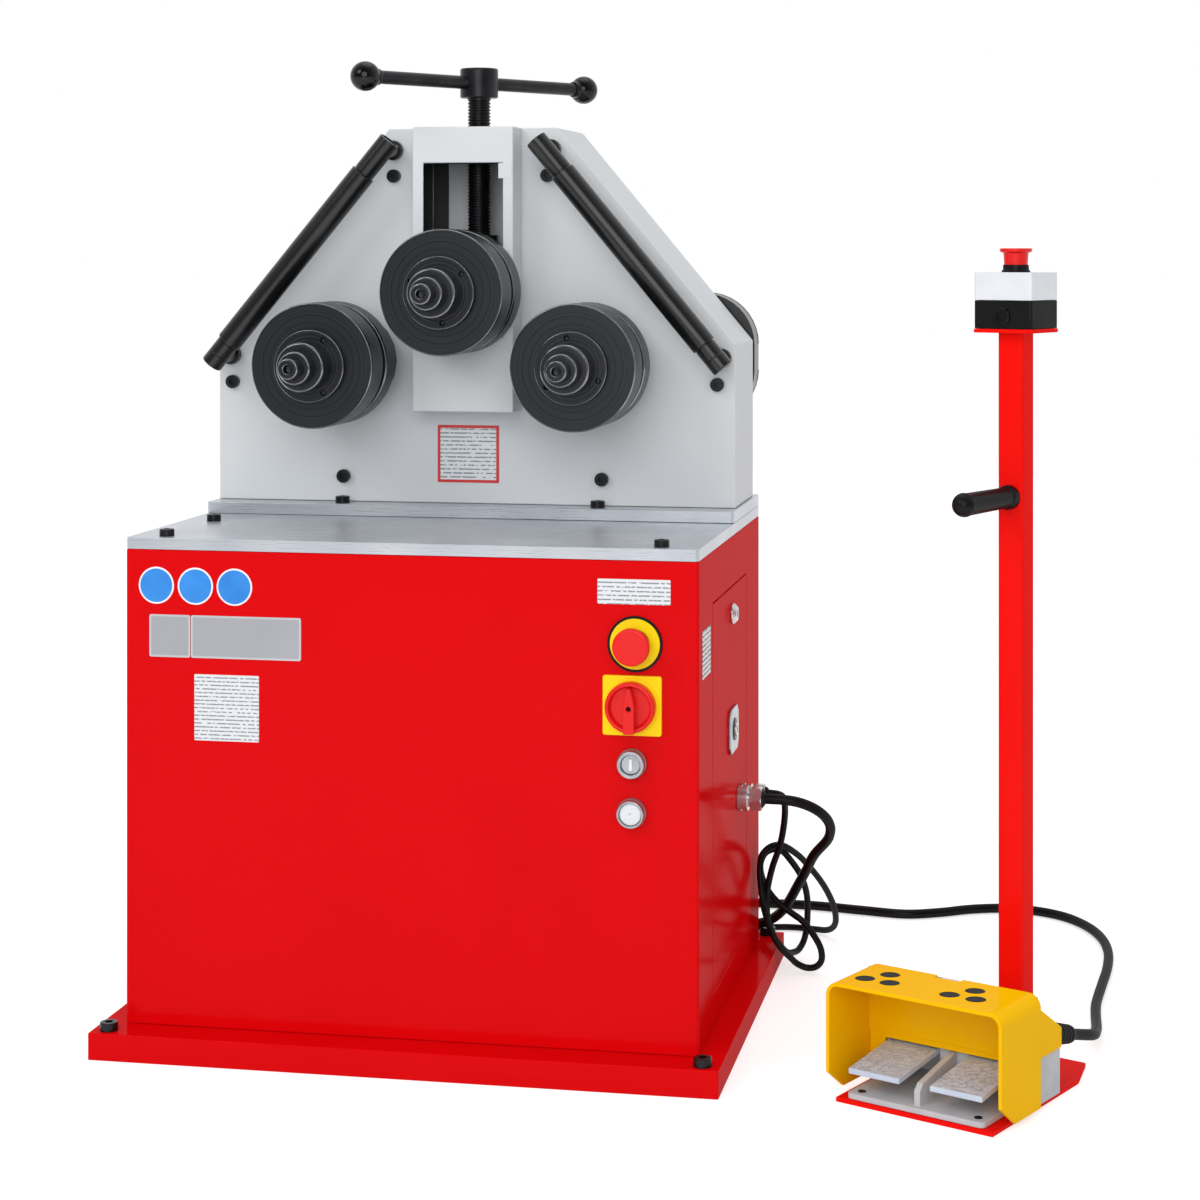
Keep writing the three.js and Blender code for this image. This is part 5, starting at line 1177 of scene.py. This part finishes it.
# %% [markdown]
# ## The post's grip and emergency stop
# A rubber grip is pushed on a stub below the stop, so that the stand can be carried. The stop on top is
# a box with a white upper half. A black collar stands round the foot of its red mushroom, which slides
# down inside the collar when it is pushed, and widens towards its top.

# %% Grip, collar and mushroom
POST_Y = 105
BOX_TOP = 864.7
angles = [math.radians(90 * i / 10) for i in range(11)]
dome = [(13 * math.sin(angle), -14.7 - 13 * math.cos(angle)) for angle in angles]
grip = turned(
    "grip_turned",
    [*dome, (12.6, -13.5), (12.2, -8), (11.5, 76, 1.5), (13.2, 80, 1), (13.2, 89.6, 1), (0, 89.6)],
    (0, 0, 619), (0, 1, 0),
)
on_stand(grip, moulded_rubber, "base", "grip")
neck = turned(
    "post_neck",
    [(13.05, -0.3), (15.6, -0.3), (15.6, 1.6, 0.5), (14.2, 2.6, 0.3), (14, 8.2, 0.3), (13.3, 8.2, 0.2),
     (13.3, 3.2), (13.05, 3.2), (13.05, -0.3)],
    (0, POST_Y, BOX_TOP), UP,
)
on_stand(neck, eroded_black_polyamide, "base")
cap = turned(
    "post_mushroom_turned",
    [(0, -9), (6.8, -9), (6.8, 7.3), (12.8, 7.3, 0.6), (13.6, 21, 1.6), (17.2, 22.4, 0.8),
     (18, 24.2, 0.8), (17.4, 26.3, 0.9), (0, 26.3)],
    (0, POST_Y, BOX_TOP), UP,
)
on_stand(cap, moulded_red_polyamide, "post_estop_body", "post_mushroom")
print("top of the mushroom:", round(BOX_TOP + 26.3, 1), "mm")

# %% [markdown]
# ## The box's plug and the cable's boot
# A round plug closes the unused entry of the box. The pedal cable goes into the housing through a rubber
# boot, which points down by 15 degrees. Its ribs get smaller towards the cable, so that it bends evenly.
# Rings could be pushed on a tube, but a loop that adds four points for each rib keeps it one closed skin.

# %% Plug and boot
TILT = math.radians(15)
plug = turned("box_plug", [(6, -2), (9.4, -2), (9.4, 3.4, 0.8), (6, 3.4, 0.4), (6, 1.2), (0, 1.2)],
              (0, 73, 817), (0, -1, 0), sides=48)
on_stand(plug, polished_black_resin, "base")
ribs = [(13, 6), (12.2, 6.6)]
for i in range(5):
    foot, radius = 7 + 8.4 * i, 12 - 0.45 * i
    ribs += [(radius - 1.7, foot + 1), (radius - 1.7, foot + 2.4), (radius, foot + 3.2, 0.6),
             (radius, foot + 7, 0.8)]
boot = turned("boot_turned", [(0, -2), (13, -2), *ribs, (9.2, 52.6, 0.8), (0, 52.6)], (80, 20, 65),
              (0, math.cos(TILT), -math.sin(TILT)), (1, 0, 0), 64)
on_stand(boot, moulded_rubber, "base", "cable_boot", smooth=60)
print("ribs on the boot:", 5)

# %% [markdown]
# ## The studio
# The photograph shows the machine cut out on white. Here it stands on a pale floor in a white surround.
# Stronger lamps would whiten the floor, but they would wash out the machine as well. So the floor glows a
# little, only to the camera and to surfaces that mirror it: it looks white and still keeps a shadow.

# %% The floor


def any_ray(tree, first, *others):
    """1 for a ray of one of these kinds, and else 0."""
    rays = add_node(tree, "LightPath").outputs
    met = rays[f"Is {first} Ray"]
    for kind in others:
        both = {0: met, 1: rays[f"Is {kind} Ray"]}
        met = add_node(tree, "Math", both, operation="MAXIMUM").outputs["Value"]
    return met


FLOOR_WIDTH = 14
deselect_all()
bpy.ops.mesh.primitive_plane_add(size=FLOOR_WIDTH, location=(0, 0, 0))
floor = bpy.context.object
floor.name = "studio_floor"
floor_paint, tree, surface, place = finish("floor_paint", Roughness=0.9)
surface.inputs["Specular IOR Level"].default_value = 0.1
tone = shade_between(tree, grain(tree, place, 400, 2), "#dcdcdc", "#e0e0e0")
tree.links.new(tone, surface.inputs["Base Color"])
surface.inputs["Emission Color"].default_value = (1, 1, 1, 1)
seen = any_ray(tree, "Camera", "Glossy", "Transmission")
tree.links.new(between(tree, seen, 0, 0.55, 0, 1), surface.inputs["Emission Strength"])
paint(floor, floor_paint)
print("floor:", FLOOR_WIDTH, "m across")

# %% [markdown]
# ## The sky
# The sky lights the object softly from all round, a little weaker from behind. Surfaces that mirror it
# see it bright behind the machine and dim in front, as in a photographer's tent with a dark opening for
# the camera, which gives metal its contrast. The camera itself sees plain white.

# %% The sky
world = bpy.data.worlds.new("studio_sky")
world.use_nodes = True
scene.world = world
tree = world.node_tree
tree.nodes.clear()
direction = add_node(tree, "TexCoord").outputs["Generated"]
depth = add_node(tree, "SeparateXYZ", {"Vector": direction}).outputs["Y"]
soft_light = between(tree, depth, 0.75, 0.7, -0.6, 0.6)
mirrored = between(tree, depth, 0.12, 1.0, -0.7, 0.3)
lit = add_node(tree, "Mix", {"Factor": any_ray(tree, "Glossy"), "A": soft_light, "B": mirrored},
               data_type="FLOAT").outputs[0]
clear = any_ray(tree, "Camera", "Transmission")
strength = add_node(tree, "Mix", {"Factor": clear, "A": lit, "B": 1.0}, data_type="FLOAT").outputs[0]
sky = add_node(tree, "Background", {"Color": (1, 1, 1, 1), "Strength": strength})
add_node(tree, "OutputWorld", {"Surface": sky.outputs["Background"]})
print("sky:", world.name)

# %% [markdown]
# ## The lamps
# Three large soft lamps give the object its form at a plain level: one from the upper left, a wide one
# from the front at half height, which keeps the cabinet's face even, and a weak one from above. Large
# lamps are chosen because small ones would leave hard shadows and sharp spots on the enamel.

# %% The lamps


def lamp(name, place, aim, size, power):
    """A round soft lamp that looks at a point."""
    bpy.ops.object.light_add(type="AREA", location=place)
    light = bpy.context.object
    light.name = name
    light.data.shape = "DISK"
    light.data.size = size
    light.data.energy = power
    light.rotation_euler = (Vector(aim) - Vector(place)).to_track_quat("-Z", "Y").to_euler()


lamp("key_lamp", (-1.9, -2.6, 2.9), (0, 0, 0.6), 1.6, 26)
lamp("front_lamp", (0.5, -3.4, 1.7), (0.1, 0, 0.55), 2.4, 42)
lamp("top_lamp", (0.2, 0.4, 3.4), (0.1, 0, 0.5), 2.0, 10)
print("lamps:", 3)
